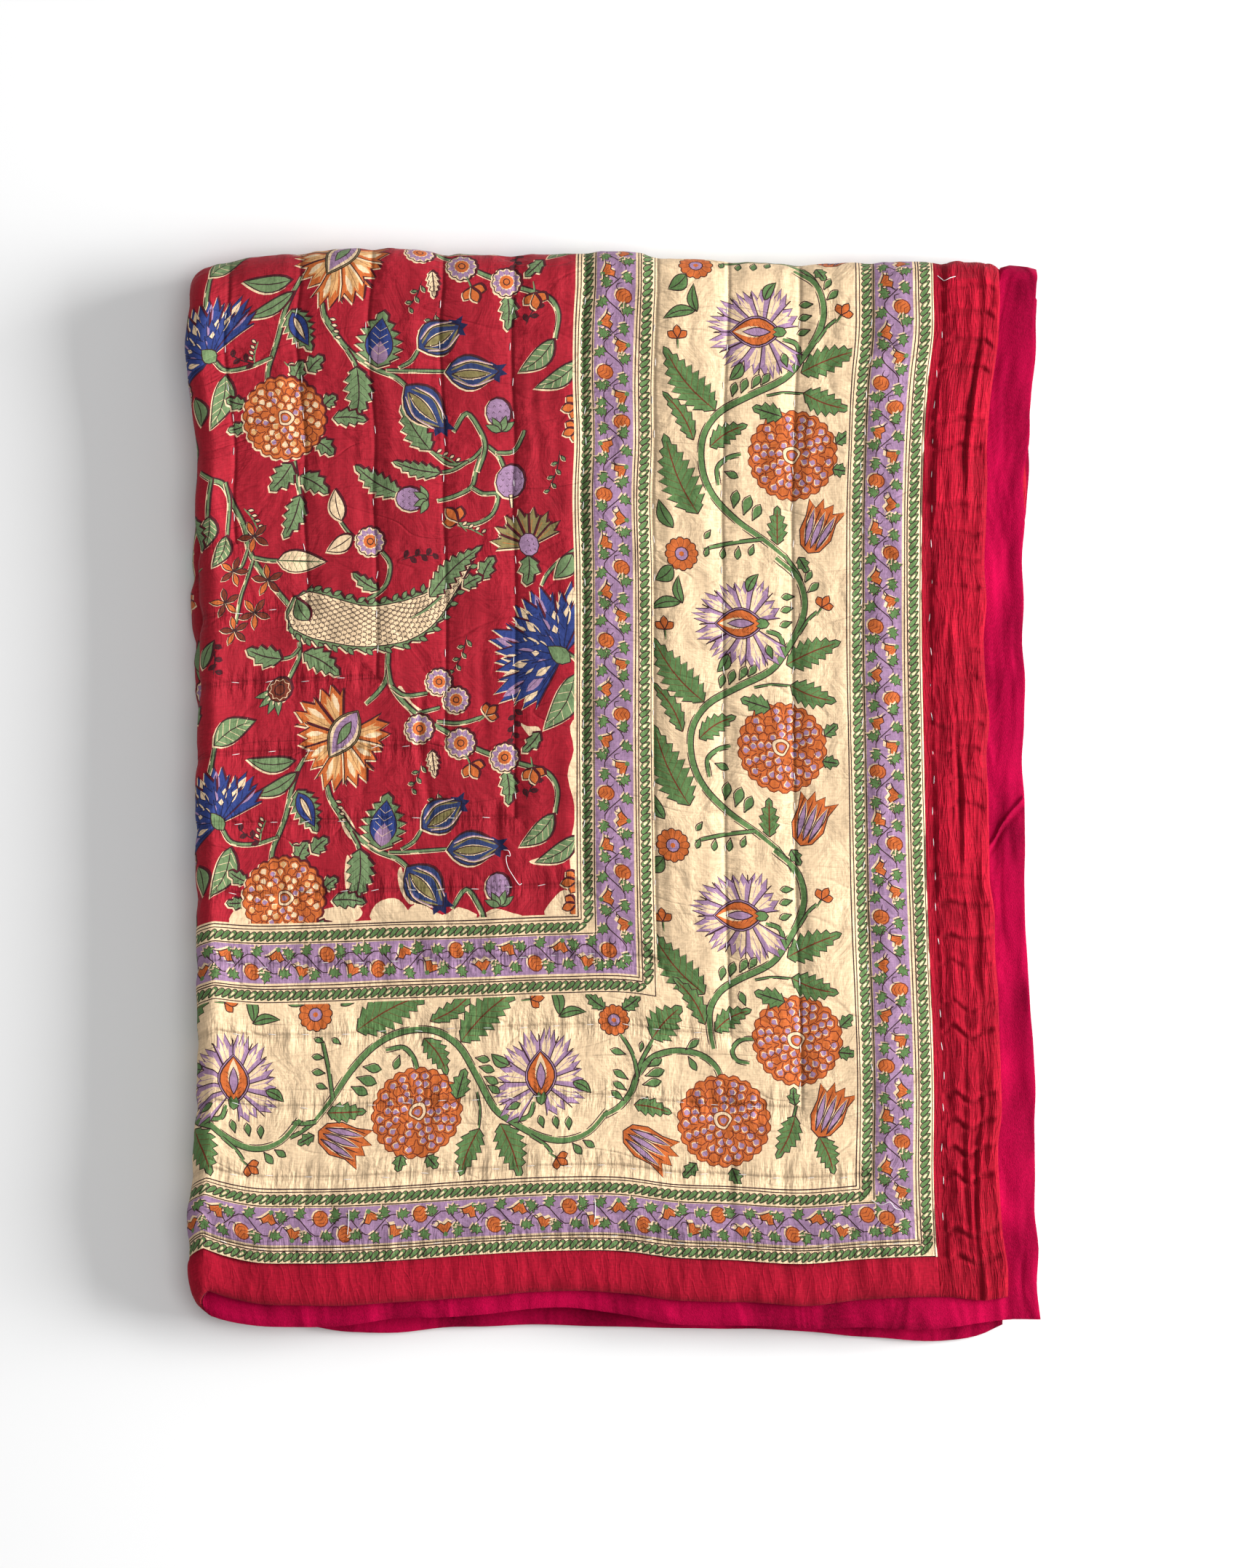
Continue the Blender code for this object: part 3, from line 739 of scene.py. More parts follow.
def blue_leaf(pen, length, width, bare=False):
    """A toothed green leaf that holds a blue one, along +x."""
    toothed_leaf(pen, length, width, 0, 7)
    body = teardrop(length * 0.84, width * 0.72, 7, 0.8)
    root = pen.at(length * 0.06, 0)
    root.stamp("blue", body)
    if bare:
        blade = teardrop(length * 0.6, width * 0.24, 5, 0.8)
        root.at(length * 0.1, 0).stamp("cream", blade)
        root.draw([(length * 0.12, 0), (length * 0.66, 0)])
        return
    root.fill("lilac", body * (0.5, 0.62), shift=(0.8, 0))
    for k in range(4):
        x = length * (0.18 + 0.14 * k)
        reach = width * (0.26 - 0.035 * k)
        for side in (-1, 1):
            root.line("cream", [(x, 0), (x + reach * 0.75, side * reach)], 1)
    root.draw([(length * 0.02, 0), (length * 0.76, 0)])


def blue_carnation(pen, radius):
    """A large blue flower seen from the side: ragged petals over a green calyx."""
    for ring, (count, reach, spread) in enumerate(((11, 1.34, 165), (9, 0.98, 140), (6, 0.62, 110))):
        for k in range(count):
            turn = spread * (k / (count - 1) - 0.5) + 6 * ring
            size = radius * reach * (0.95 + 0.09 * sin(2.3 * k + ring))
            wide = radius * (0.46 - 0.05 * ring)
            root = pen.at(-radius * 0.34, 0, turn)
            shape = jagged_petal(size, wide)
            if ring == 0:
                root.bare(shape)
            root.stamp("blue", shape, edge="navy")
            streak = teardrop(size * 0.5, wide * 0.36, 3, 1.4)
            ink = "lilac" if (k + ring) % 3 == 0 else "cream"
            root.at(size * 0.4, wide * 0.08).fill(ink, streak)
            root.line("navy", [(0.4 * size, 0), (0.86 * size, wide * 0.06)], FINE)
    pen.at(-radius * 0.52, 0).stamp("green", teardrop(radius * 0.5, radius * 0.3, 4, 0.8))


def orange_carnation(pen, radius):
    """An orange flower of ragged petals with a lilac and green heart, along +x."""
    for k, turn in enumerate((-128, -92, -56, -20, 18, 54, 92, 128)):
        size = radius * (0.95 + 0.14 * sin(1.7 * k + 0.4))
        wide = radius * 0.52
        root = pen.at(0, 0, turn)
        shape = jagged_petal(size, wide)
        root.bare(shape)
        root.fill("orange", shape)
        root.at(size * 0.12, 0).fill("pale_orange", shape * (0.72, 0.5))
        root.edge(shape)
        root.at(size * 0.42, -wide * 0.15).fill("cream", teardrop(size * 0.4, wide * 0.2, 2, 1))
        root.line("brown", [(0.2 * size, 0), (0.8 * size, wide * 0.1)], FINE)
    heart = teardrop(radius * 0.95, radius * 0.52, 7, 0.9)
    core = pen.at(-radius * 0.5, 0)
    core.stamp("olive", grown(heart, 1.4))
    core.fill("cream", heart)
    core.fill("lilac", heart * (0.94, 0.72))
    core.edge(heart)
    core.at(radius * 0.2, 0).stamp("green", teardrop(radius * 0.5, radius * 0.18, 4, 0.9))
    draw_ticks(core, radius, 0.14 + 0.11 * np.arange(6), (0.08, 0.08, 0.2))


def draw_scales(pen, size, rows, ahead, across, bow):
    """Rows of four small arcs: start and pitch ahead, pitch and slip across."""
    for row in range(rows):
        for k in range(4):
            x = size * (ahead[0] + ahead[1] * row)
            y = size * (across[0] * (k - 1.5) + across[1] * (row % 2))
            pen.draw([(x, y - bow[1]), (x + bow[0], y), (x, y + bow[1])], THIN)


def thistle(pen, size):
    """A scaled lilac bud in a leafy cup, along +x."""
    body = ellipse(size * 0.42, size * 0.36, 12, size * 0.62, 0)
    pen.bare(body)
    pen.stamp("lilac", body)
    draw_scales(pen, size, 3, (0.42, 0.18), (0.18, 0.05), (1.5, 1.1))
    for turn in (-60, -25, 25, 60):
        pen.at(size * 0.05, 0, turn).stamp("green", teardrop(size * 0.5, size * 0.22, 3, 0.8))


def berries(pen, size):
    """A head of lilac berries on a pale stalk, along +x."""
    body = ellipse(size * 0.44, size * 0.38, 12, size * 0.3, 0)
    pen.bare(body)
    pen.fill("lilac", body)
    pen.stamp("cream", [(size * 0.65, -1.6), (size, -0.9), (size, 0.9), (size * 0.65, 1.6)])
    pen.edge(body)
    draw_scales(pen, size, 4, (0.05, 0.16), (0.17, 0.06), (1.7, 1.3))


def olive_flower(pen, size):
    """A spiky olive flower with a lilac, scaled base, along +x."""
    for turn in (-66, -44, -22, 0, 22, 44, 66):
        shape = jagged_petal(size, size * 0.34, 2)
        root = pen.at(0, 0, turn)
        root.bare(shape)
        root.stamp("olive", shape)
        root.line("orange", [(0.2 * size, 0), (0.7 * size, 0)], 1)
    pen.stamp("lilac", ellipse(size * 0.3, size * 0.26, 10, size * 0.05, 0))
    for k in range(7):
        x = size * (-0.14 + 0.13 * (k % 3))
        y = size * (-0.14 + 0.12 * (k // 3))
        pen.draw([(x, y), (x + 1.2, y + 1), (x + 2.2, y)], THIN)


def sprig(pen, length, count, kind):
    """A twig of small drops along +x: 0 inked, 1 bare, 2 only the cloth's shade."""
    bare = kind == 1
    twig = smooth([(0, 0), (length * 0.5, length * 0.07), (length, 0)], 4)
    pen.line("green" if bare else "dark", twig, 1.4 if bare else 1)
    for k in range(count):
        side = 1 if bare or k % 2 == 0 else -1
        root = pen.at(length * ((k + 0.6) / count), length * 0.05, side * 58)
        drop = teardrop(6 - 0.25 * k, 2.8, 3, 1.3)
        if bare:
            root.fill("cream", drop, shift=(0.2, -0.3))
        elif kind == 0:
            root.fill("cream", grown(drop, 0.5), shift=(-0.4, -0.3))
            root.fill("green", drop)
        else:
            root.fill("shade", grown(drop, 0.9), shift=(0.7, 0.3))
        root.edge(drop)


def curled_leaf(pen, spine_points, widths):
    """The large curled leaf of the field: a bare body drawn all over in scales."""
    spine = smooth(spine_points)
    t = np.linspace(0, 1, len(spine))
    half = np.interp(t, np.linspace(0, 1, len(widths)), widths)
    normal = left_of(spine)
    ripple = 1.04 + 0.1 * np.where(np.arange(len(t)) % 2 == 0, 1, -1)
    upper = spine + normal * (half * ripple)[:, None]
    lower = spine - normal * (half * ripple[::-1])[:, None]
    rim = np.concatenate([upper, lower[::-1]])
    pen.bare(rim)
    pen.stamp("green", rim, width=MEDIUM)
    small = teardrop(7.5, 4.2, 2, 0.9)
    for k in range(3, len(spine) - 2, 2):
        heading = degrees(atan2(-normal[k][0], normal[k][1]))
        for side in (-1, 1):
            root = spine[k] + side * normal[k] * half[k] * 0.96
            pen.at(*root, heading + side * 40).stamp("green", small)
    inside = normal * (half * 0.87)[:, None]
    pen.stamp("cream", np.concatenate([(spine + inside)[1:-2], (spine - inside)[1:-2][::-1]]))
    pitch = 4.1
    arc_length = np.concatenate([[0], np.cumsum(np.hypot(*np.diff(spine, axis=0).T))])
    arc = np.array([(-1.5, -1.7), (0.8, -1.5), (1.7, 0), (0.8, 1.5), (-1.5, 1.7)])
    for k, s in enumerate(np.arange(5, arc_length[-1] - 7, pitch * 0.9)):
        x, y, nx, ny, wide = (np.interp(s, arc_length, row) for row in (*spine.T, *normal.T, half))
        reach = wide * 0.85
        turn = degrees(atan2(-nx, ny))
        for move in np.arange(-reach, reach, pitch) + pitch * (0.7 if k % 2 else 0.25):
            if abs(move) < reach - 1:
                pen.at(x + nx * move, y + ny * move, turn).draw(arc, THIN, taper=1)
    rib = slice(len(spine) * 3 // 5, -2)
    pen.line("green", spine[rib], 2, taper=0.3)
    pen.draw(spine[rib] + normal[rib] * 1.1, taper=0.6)


def rope(pen, length):
    """A row of slanted green drops, along +x."""
    pitch, width = 5.1, 7.4
    drop = [(-1.6, -0.5), (0.5, -0.2), (1.9, 0.28), (1, 0.52), (-0.7, 0.14)]
    drop = smooth(drop, 3, closed=True) * (pitch * 0.42, width)
    for k in range(int(length / pitch)):
        spot = pen.at((k + 0.5) * pitch, 0, 5 * sin(2.7 * k))
        spot.fill("green", drop * 1.06, shift=(0.4, -0.4))
        if k % 3 == 1:
            spot.fill("cream", drop * 0.45)
        spot.edge(drop, width=FINE * 0.85)


def guard_block(pen, length, width):
    """One block of the lilac strip: a thin vine with flowers, buds and leaves."""
    blooms = max(2, round(length / 20))
    pitch = length / blooms
    swing = 0.26 * width
    t = np.linspace(0, 1, 5 * blooms + 1)
    vine = np.c_[length * t, swing * np.sin(pi * blooms * t)]
    pen.draw(vine, taper=1)
    lobes = np.array([
        (0, 0), (0.02, 0.34), (0.24, 0.2), (0.32, 0.54), (0.52, 0.26), (0.8, 0.42), (0.8, 0.15),
    ])
    ivy = np.concatenate([lobes, [(1.15, 0)], lobes[:0:-1] * (1, -1)])
    for k in range(blooms):
        x = pitch * (k + 0.5)
        side = 1 if k % 2 == 0 else -1
        bloom = pen.at(x + 1.5, -side * swing * 0.8, 90 * side + 35 * sin(2.3 * k))
        if k % 3 == 0:
            face = ellipse(6.6, 5.6, 11)
            bloom.fill("cream", face, shift=(-1.5, 1))
            bloom.stamp("orange", face, edge="brown")
            for bow in (-3.2, 0, 3.2):
                bloom.line("brown", [(bow - 1.2, -4), (bow + 1.2, 0), (bow - 1.2, 4)], THIN)
        else:
            face = jagged_petal(11, 13, flare=1)
            spot = bloom.at(-6, 0)
            spot.fill("cream", face * 1.1, shift=(-1.4, 1.6))
            spot.stamp("orange", face)
            for lean in (-0.24, 0, 0.24):
                spot.line("brown", [(4, 4 * lean), (9, 12 * lean)], LIGHT)
            spot.at(-1.2, 0).fill("green", teardrop(4.6, 4.2, 2))
        for place, across, turn, reach in (
            (-0.3, 0.75, 130, 8.8), (0.16, 0.85, 35, 9), (0.44, -0.55, -50, 7.6),
        ):
            heading = side * (turn + 25 * sin(3.7 * k + turn))
            root = pen.at(x + place * pitch, side * swing * across, heading)
            root.fill("cream", reach * ivy, shift=(-1.1, 1.2))
            root.stamp("green", reach * ivy, width=LIGHT)
        curl = pen.at(x - 0.45 * pitch, -side * swing * 0.6, 30 * side)
        curl.draw(smooth([(0, 0), (3, 3), (6, 1), (5, -2)], 2))


def draw_stems(pen, stems, steps=5):
    """Stems from rows of a width and the points that each one runs through."""
    for width, *path in stems:
        stem(pen, path, width, steps)


def border_leaves(spot, leaves):
    """Leaves from rows of a place, a heading, a length, a width, a bend and teeth."""
    for along, across, turn, length, *shape in leaves:
        vein = "brown" if length > 25 else "dark"
        toothed_leaf(spot(along, across, turn), length, *shape, vein=vein)


def border_commas(spot, commas, slender):
    for along, across, turn, size in commas:
        comma(spot(along, across, turn), size, size * slender)


def border_block(pen, spread, last=False):
    """One block of the vine border. Along runs down (-y), the field is at -x."""
    def spot(along, across, heading):
        return pen.at(across, -along, heading)

    vine = [
        (29.9, 51.8), (46.8, 37.4), (53, 18.1), (49.2, -1.2), (38.3, -20.5), (25.1, -37.4),
        (-1.4, -51.8), (-25.5, -66.3), (-37.6, -85.6), (-37.6, -109.7), (-28, -131.3),
        (-8.7, -150.6), (13, -165), (29.9, -178),
    ]
    if last:
        vine[7:] = [(-16, -62), (-24, -76), (-24.5, -92), (-22, -107)]
    stem(pen, vine, 4.6, steps=4)
    draw_stems(pen, (
        (3.2, (36, -22), (33, -10), (22, -6)),
        (1.6, (12, -51), (26, -48), (42, -48.5)),
        (2.2, (48, -8), (56, 4), (63, 10)),
    ))
    if last:
        stem(pen, [(14, -97), (0, -99), (-7, -107), (-4, -115), (6, -117)], 3)
    else:
        draw_stems(pen, (
            (3.2, (-24, -123), (-25.5, -109), (-17, -101), (-7, -98)),
            (2.6, (12, -164), (-12, -168), (-36, -173.5)),
            (2.8, (29, -176), (38, -188), (42, -196)),
        ))
    fan_flower(spot(1, 4, 182), 35)
    marigold(spot(97.5, 26 + spread, 150), 36)
    small_bud(spot(10, -59, 96), 11)
    small_bud(spot(-12, 66, 58), 11)
    border_leaves(spot, (
        (64, -28, 131, 62, 24, 0.06, 9),
        (88, -28 if last else -45, 124, 43, 13, -0.08, 6),
        (32, 38, 22, 46, 20, 0.04, 7),
        (48, 41, -20, 38, 18, -0.05, 6),
        (93, -21 if last else -32, 32, 34, 15, 0.08, 6),
        (67, 17 + spread, 165, 24, 14, 0, 4),
        (88, 60 + spread, 40, 13, 10, 0, 3),
        (108, 58 + spread, -10, 13, 10, 0, 3),
    ))
    tulip(spot(174, 37 + spread * 1.3, 68), 41, 27)
    bend_commas = ((-22, 45, 185, 11), (-13, 44, 195, 11), (-2, 43, 200, 11))
    fork_commas = ((53, -15, 78, 12), (50, -8, 72, 13), (46, 0, 62, 13), (43, 7, 56, 12))
    if last:
        border_commas(spot, ((72, 4, 112, 12), *fork_commas, *bend_commas), 0.5)
        return
    rosette(spot(178, -53.7, 20), 13.5, 12)
    border_leaves(spot, (
        (146, -40, 115, 66, 27, 0.05, 9),
        (168, 23, 90, 30, 14, 0, 5),
        (177, 40, -60, 14, 9, 0, 3),
    ))
    for along, across, turn, *shape in (
        (-13, -45, 98, 22, 8, 0.12), (-14, -46, 198, 26, 9, -0.12), (-24, 7, 58, 17, 8, 0.1),
        (26, -8, 236, 17, 9, 0.1), (158, -60, 118, 24, 11, 0.1), (188, -61, 222, 19, 12, 0.1),
    ):
        plain_leaf(spot(along, across, turn), *shape)
    border_commas(spot, (
        (-33, 53, 60, 11), (-25, 55, 40, 12), *bend_commas, (28, 27, 112, 12), *fork_commas,
        (112, -20, -20, 12), (141, -12, 80, 15), (146, -4, 72, 17), (150, 3, 64, 15),
        (158, -30, 235, 9), (171, -32, 250, 9), (171, -20, 262, 10), (170, -8, 262, 11),
        (168, 4, 250, 10),
    ), 0.5)


def border_corner(pen):
    """What the printer added by hand where the two borders meet, in mm on the quilt."""
    draw_stems(pen, (
        (4.2, (-13, -256), (-2, -249), (7, -237), (13, -221), (25, -206), (43, -199), (62, -201.5),
         (74, -211), (79, -224)),
        (2.6, (11, -227), (15, -211.5), (25, -192)),
        (2.6, (12.5, -224), (8.5, -206.5), (-1, -191)),
        (2, (137, -238), (134, -250), (130, -262)),
        (2, (157, -270), (160, -282)),
    ))
    marigold(pen.at(80.5, -253, 150), 37)
    tulip(pen.at(2, -267.5, -24), 43, 27)
    rosette(pen.at(-5.8, -180.5, 20), 12.5, 12)
    border_leaves(pen.at, (
        (24, -192, 50, 36, 23, 0.05, 6),
        (10, -246, -5, 29, 13, 0.05, 5),
        (-12.5, -171.5, 140, 19, 10, 0.05, 4),
        (1, -171.5, 40, 18, 10, -0.05, 4),
        (136, -246, -112, 36, 16, 0.05, 6),
        (155, -263, -68, 32, 15, 0.05, 6),
        (136, -238, 96, 14, 9, 0.05, 3),
        (60, -287, -130, 15, 10, 0, 3),
        (88, -290, -70, 15, 10, 0, 3),
    ))
    border_commas(pen.at, (
        (3.5, -207, 165, 13), (5.3, -226.7, 150, 14), (4.3, -235.5, 150, 13),
        (2.3, -243.6, 145, 13), (19.9, -214.6, 35, 14), (17.9, -222.2, 25, 17),
        (15.9, -229.5, 20, 16), (52, -202.8, -60, 13), (50, -198, 40, 14), (14.5, -204, 80, 9),
    ), 0.42)


# Layout of one block of the field print, in mm on the flat quilt. Stems: width, then
# the points that each one runs through.
FIELD_STEMS = (
    (2.4, (-256, 264), (-254, 253), (-251, 243), (-250, 236)),
    (3, (-331, 264), (-322, 258), (-311, 251), (-303, 234), (-295, 215),
     (-293, 198), (-287, 184), (-277, 170), (-265, 155), (-255, 143)),
    (2, (-321, 258), (-322, 246), (-323, 227)),
    (2, (-310, 253), (-306, 236), (-309, 209)),
    (1.8, (-293, 199), (-299, 185), (-305, 181)),
    (1.8, (-290, 189), (-296, 173), (-301, 159), (-305, 139)),
    (2.2, (-290, 191), (-279, 188), (-270, 187)),
    (1.8, (-207, 200), (-213, 206), (-219, 215)),
    (2.6, (-187, 190), (-181, 180), (-184, 165), (-194, 156), (-205, 151)),
    (3, (-183, 116), (-183, 101), (-184, 90), (-191, 80), (-200, 72)),
    (3, (-183, 102), (-180, 87), (-171, 74), (-157, 62), (-137, 51), (-112, 37),
     (-89, 28), (-68, 21), (-54, 15), (-47, 2), (-49, -17)),
    (2.4, (-180, 85), (-169, 78), (-151, 80)),
    (2.2, (-159, 64), (-141, 69)),
    (2.4, (-143, 58), (-125, 57), (-106, 62)),
    (2.4, (-254, 123), (-254, 111), (-259, 100), (-264, 90)),
    (2, (-269, 110), (-260, 112), (-254, 118)),
    (2.8, (-248, 32), (-254, 21), (-259, 4), (-262, -11), (-267, -25), (-273, -40), (-274, -59)),
    (2.4, (-313, -22), (-305, -33), (-287, -34), (-269, -29)),
    (2.4, (-319, 44), (-321, 32), (-322, 21)),
    (3, (-230, 10), (-227, -1), (-219, -14), (-208, -29), (-191, -42), (-175, -49), (-165, -57)),
    (2.2, (-211, -27), (-206, -36), (-204, -42)),
    (2.2, (-181, -44), (-164, -44), (-134, -42)),
    (2.2, (-171, -42), (-161, -36), (-155, -27)),
    (2.8, (-131, -89), (-120, -74), (-110, -87), (-106, -101), (-111, -120)),
    (2.6, (-106, 275), (-111, 255), (-114, 243), (-128, 235), (-141, 231)),
    (2.4, (-106, 274), (-116, 264), (-132, 260), (-148, 270)),
    (2.2, (-118, 263), (-129, 256), (-140, 253)),
    (2.4, (-106, 278), (-94, 268), (-87, 254)),
    (2.4, (-96, 270), (-82, 271), (-75, 282), (-73, 287)),
    (2.4, (-114, 243), (-105, 238), (-93, 237), (-97, 222), (-111, 214), (-125, 214)),
    (2, (-44, 113), (-35, 107), (-29, 101)),
    (2.2, (-27, 195), (-44, 184), (-55, 173), (-60, 164)),
    (2.4, (-348, 259), (-345, 243), (-341, 230), (-344, 207), (-337, 185)),
    (2.4, (-355, 107), (-347, 127), (-349, 150)),
    (2.4, (-352, 52), (-345, 35), (-347, 17), (-353, -2), (-345, -44)),
)

# Leaves: kind, a, b, heading in degrees, length, width.
FIELD_LEAVES = (
    ("toothed", -150, 155, 44, 58, 15),
    ("toothed", -258, 262, 232, 25, 17),
    ("toothed", -251, 252, -33, 27, 14),
    ("toothed", -250, 237, -114, 35, 15),
    ("striped", -322, 228, -105, 26, 12),
    ("striped", -310, 210, -118, 26, 12),
    ("veined", -271, 187, -5, 39, 17),
    ("bare", -218, 215, 100, 25, 12),
    ("bare", -210, 203, 208, 24, 12),
    ("toothed", -191, 160, 145, 24, 9),
    ("toothed", -268, 110, 163, 29, 15),
    ("toothed", -251, 114, -33, 34, 16),
    ("striped", -320, 44, 30, 37, 19),
    ("plain", -256, 30, 176, 38, 12),
    ("plain", -254, 21, 205, 40, 11),
    ("striped", -306, -37, -112, 43, 17),
    ("toothed", -204, -41, -96, 41, 19),
    ("striped", -33, 93, -120, 50, 20),
    ("toothed", -88, 19, -86, 27, 12),
    ("toothed", -61, 48, -132, 20, 10),
    ("striped", -50, -17, -138, 37, 15),
    ("striped", -31, -35, -150, 40, 14),
    ("toothed", -148, 270, 122, 39, 18),
    ("toothed", -139, 253, 170, 38, 11),
    ("toothed", -170, 234, 148, 43, 15),
    ("toothed", -70, 188, -95, 23, 15),
    ("plain", -35, 188, 232, 24, 15),
    ("toothed", -253, -48, 62, 16, 12),
    ("toothed", -242, -42, 40, 16, 12),
    ("toothed", -293, -64, 152, 16, 10),
    ("toothed", -295, -80, 186, 14, 9),
    ("toothed", -232, -70, 35, 12, 10),
    ("toothed", -226, -80, -6, 26, 12),
    ("toothed", -240, -97, -40, 17, 12),
    ("cream_toothed", -147, 35, -82, 20, 8),
    ("plain", -331, -50, -85, 24, 11),
    ("plain", -330, 107, 70, 22, 10),
    ("toothed", -108, 170, 60, 20, 12),
    ("toothed", -123, 164, 28, 17, 10),
    ("plain", -247, 139, 118, 20, 13),
    ("toothed", -341, 230, -70, 30, 14),
    ("striped", -349, 150, 250, 34, 15),
    ("toothed", -334, 64, 110, 28, 13),
    ("plain", -347, 18, -60, 30, 11),
    ("striped", -344, -79, -100, 34, 15),
    ("toothed", -355, 190, 150, 26, 13),
    ("toothed", -357, -22, 200, 26, 12),
)

# Flowers, pods and buds: kind, a, b, heading, then the sizes.
FIELD_FLOWERS = (
    ("star", -288, 207, 20, 13),
    ("star", -306, 181, 50, 12),
    ("star", -279, 172, 5, 13),
    ("star", -313, 157, 80, 12),
    ("star", -290, 147, 35, 13),
    ("star", -306, 134, 10, 12),
    ("daisy", -196, 198, 10, 11.5),
    ("daisy", -142, 89, 0, 10.5),
    ("daisy", -128, 75, 30, 10.5),
    ("daisy", -157, 52, 12, 11.5),
    ("daisy", -124, 41, 50, 12),
    ("daisy", -89, 29, 8, 11.5),
    ("orange_carnation", -218, 48, -122, 42),
    ("blue_carnation", -56, 116, 145, 45),
    ("blue_carnation", -322, -9, 125, 35),
    ("brown_bud", -269, 86, 232, 10),
    ("bud", -105, 62, 40, 11),
    ("bud", -117, 26, -62, 13),
    ("bud", -67, 21, -80, 13),
    ("bud", -31, -70, 190, 13),
    ("bud", -32, -88, 200, 12),
    ("blue_leaf_bare", -254, 7, -64, 36, 19),
    ("blue_leaf", -188, -42, 82, 43, 30),
    ("pod", -155, -26, 33, 38, 27),
    ("pod", -135, -43, 3, 42, 27),
    ("pod", -167, -56, -47, 42, 31),
    ("marigold", -264, -77, 0, 33, "orange", ("lilac", "cream", "pale_orange")),
    ("thistle", -147, 231, 180, 26),
    ("berries", -84, 256, -86, 30),
    ("thistle", -93, -90, 96, 27),
    ("bud", -124, 214, 132, 14),
    ("olive_flower", -69, 195, 104, 31),
    ("daisy", -348, 259, 0, 11),
    ("daisy", -355, 107, 20, 11),
    ("bud", -337, 185, 200, 12),
    ("thistle", -352, 53, 80, 22),
    ("daisy", -345, -45, 10, 11),
)

# The curled leaf: the points of its spine and its half widths along it.
CURLED_SPINE = (
    (-262, 152), (-250, 146), (-228, 138), (-200, 132), (-170, 136), (-148, 149), (-131, 168),
    (-113, 191),
)
CURLED_WIDTHS = (6, 18, 20, 19, 18, 18, 15, 9, 6, 1)

# Twigs: a, b, heading, length, count of drops, and 0 inked, 1 bare or 2 outline.
FIELD_TWIGS = (
    (-295, 230, -60, 20, 4, 1),
    (-283, -33, 75, 18, 4, 1),
    (-260, -33, -60, 20, 4, 1),
    (-226, 0, -72, 20, 4, 1),
    (-120, 126, -112, 32, 6, 0),
    (-82, 69, -95, 28, 6, 2),
    (-155, 26, -112, 24, 5, 0),
    (-172, 183, 10, 28, 6, 2),
    (-126, 212, -20, 22, 4, 1),
    (-147, 268, -20, 22, 4, 1),
    (-45, 270, -105, 34, 6, 0),
    (-281, -33, 150, 22, 4, 2),
    (-324, 127, -85, 26, 5, 2),
    (-218, 61, 130, 16, 3, 2),
    (-141, 4, -120, 20, 4, 0),
    (-72, -5, 60, 18, 4, 2),
)

# Places where the red ground did not take, near the lower and right edges.
BARE_PATCHES = (
    ((-238, -97), (-235, -88), (-224, -85), (-211, -82), (-202, -90), (-210, -97)),
    ((-195, -97), (-191, -84), (-177, -80), (-168, -87), (-166, -97)),
    ((-166, -97), (-158, -84), (-139, -94), (-126, -88), (-112, -97)),
    ((-220, -7), (-213, -15), (-207, -27), (-211, -33), (-218, -23)),
    ((-172, 85), (-163, 72), (-152, 64), (-160, 58), (-168, 69), (-175, 81)),
    ((-77, 56), (-71, 53), (-62, 52), (-60, 45), (-65, 41), (-71, 47)),
    ((-29, 61), (-37, 52), (-34, 33), (-39, 13), (-33, -16), (-38, -50), (-32, -97), (-26, -97),
     (-26, 61)),
    ((-58, -97), (-52, -85), (-42, -77), (-34, -85), (-32, -97)),
    ((-70, -54), (-58, -50), (-44, -44), (-34, -37), (-32, -44), (-45, -50), (-60, -57)),
    ((-214, -45), (-210, -54), (-212, -69), (-207, -82), (-213, -80), (-216, -62)),
    ((-106, -94), (-97, -90), (-84, -94), (-77, -97), (-109, -97)),
    ((-307, -97), (-303, -87), (-295, -85), (-292, -93), (-293, -97)),
    ((-171, -56), (-168, -70), (-160, -82), (-165, -85), (-172, -74), (-174, -61)),
)


# Ink colours on the cloth.
INK_COLOURS = {
    "cream": (221, 192, 155),
    "red": (150, 22, 38),
    "dark": (50, 28, 30),
    "brown": (104, 43, 27),
    "green": (86, 116, 68),
    "sage": (104, 126, 86),
    "orange": (184, 94, 43),
    "lilac": (150, 118, 148),
    "blue": (42, 57, 114),
    "navy": (27, 31, 67),
    "slate": (44, 56, 96),
    "olive": (124, 112, 70),
    "pale_orange": (206, 156, 102),
    "shade": (78, 14, 26),
}
INKS = tuple(INK_COLOURS)

# Lines across the flat print, in mm: the edges of the red field, the middles of the two
# lilac strips, the edges of the print, and where the drawing stops past the folds.
FIELD_RIGHT = -31
FIELD_LOW = -99
INNER_STRIP = (-2, -128.4)
OUTER_STRIP = (213.8, -333.6)
PRINT_LOW = -363
PRINT_RIGHT = 244.6
DRAWN_LEFT = -420
DRAWN_BACK = 520

# How far apart the same place on two blocks lies, in mm.
BLOCK_PITCH = 230
FIELD_PITCH = 375


def box_points(x0, y0, x1, y1):
    return [(x0, y0), (x1, y0), (x1, y1), (x0, y1)]


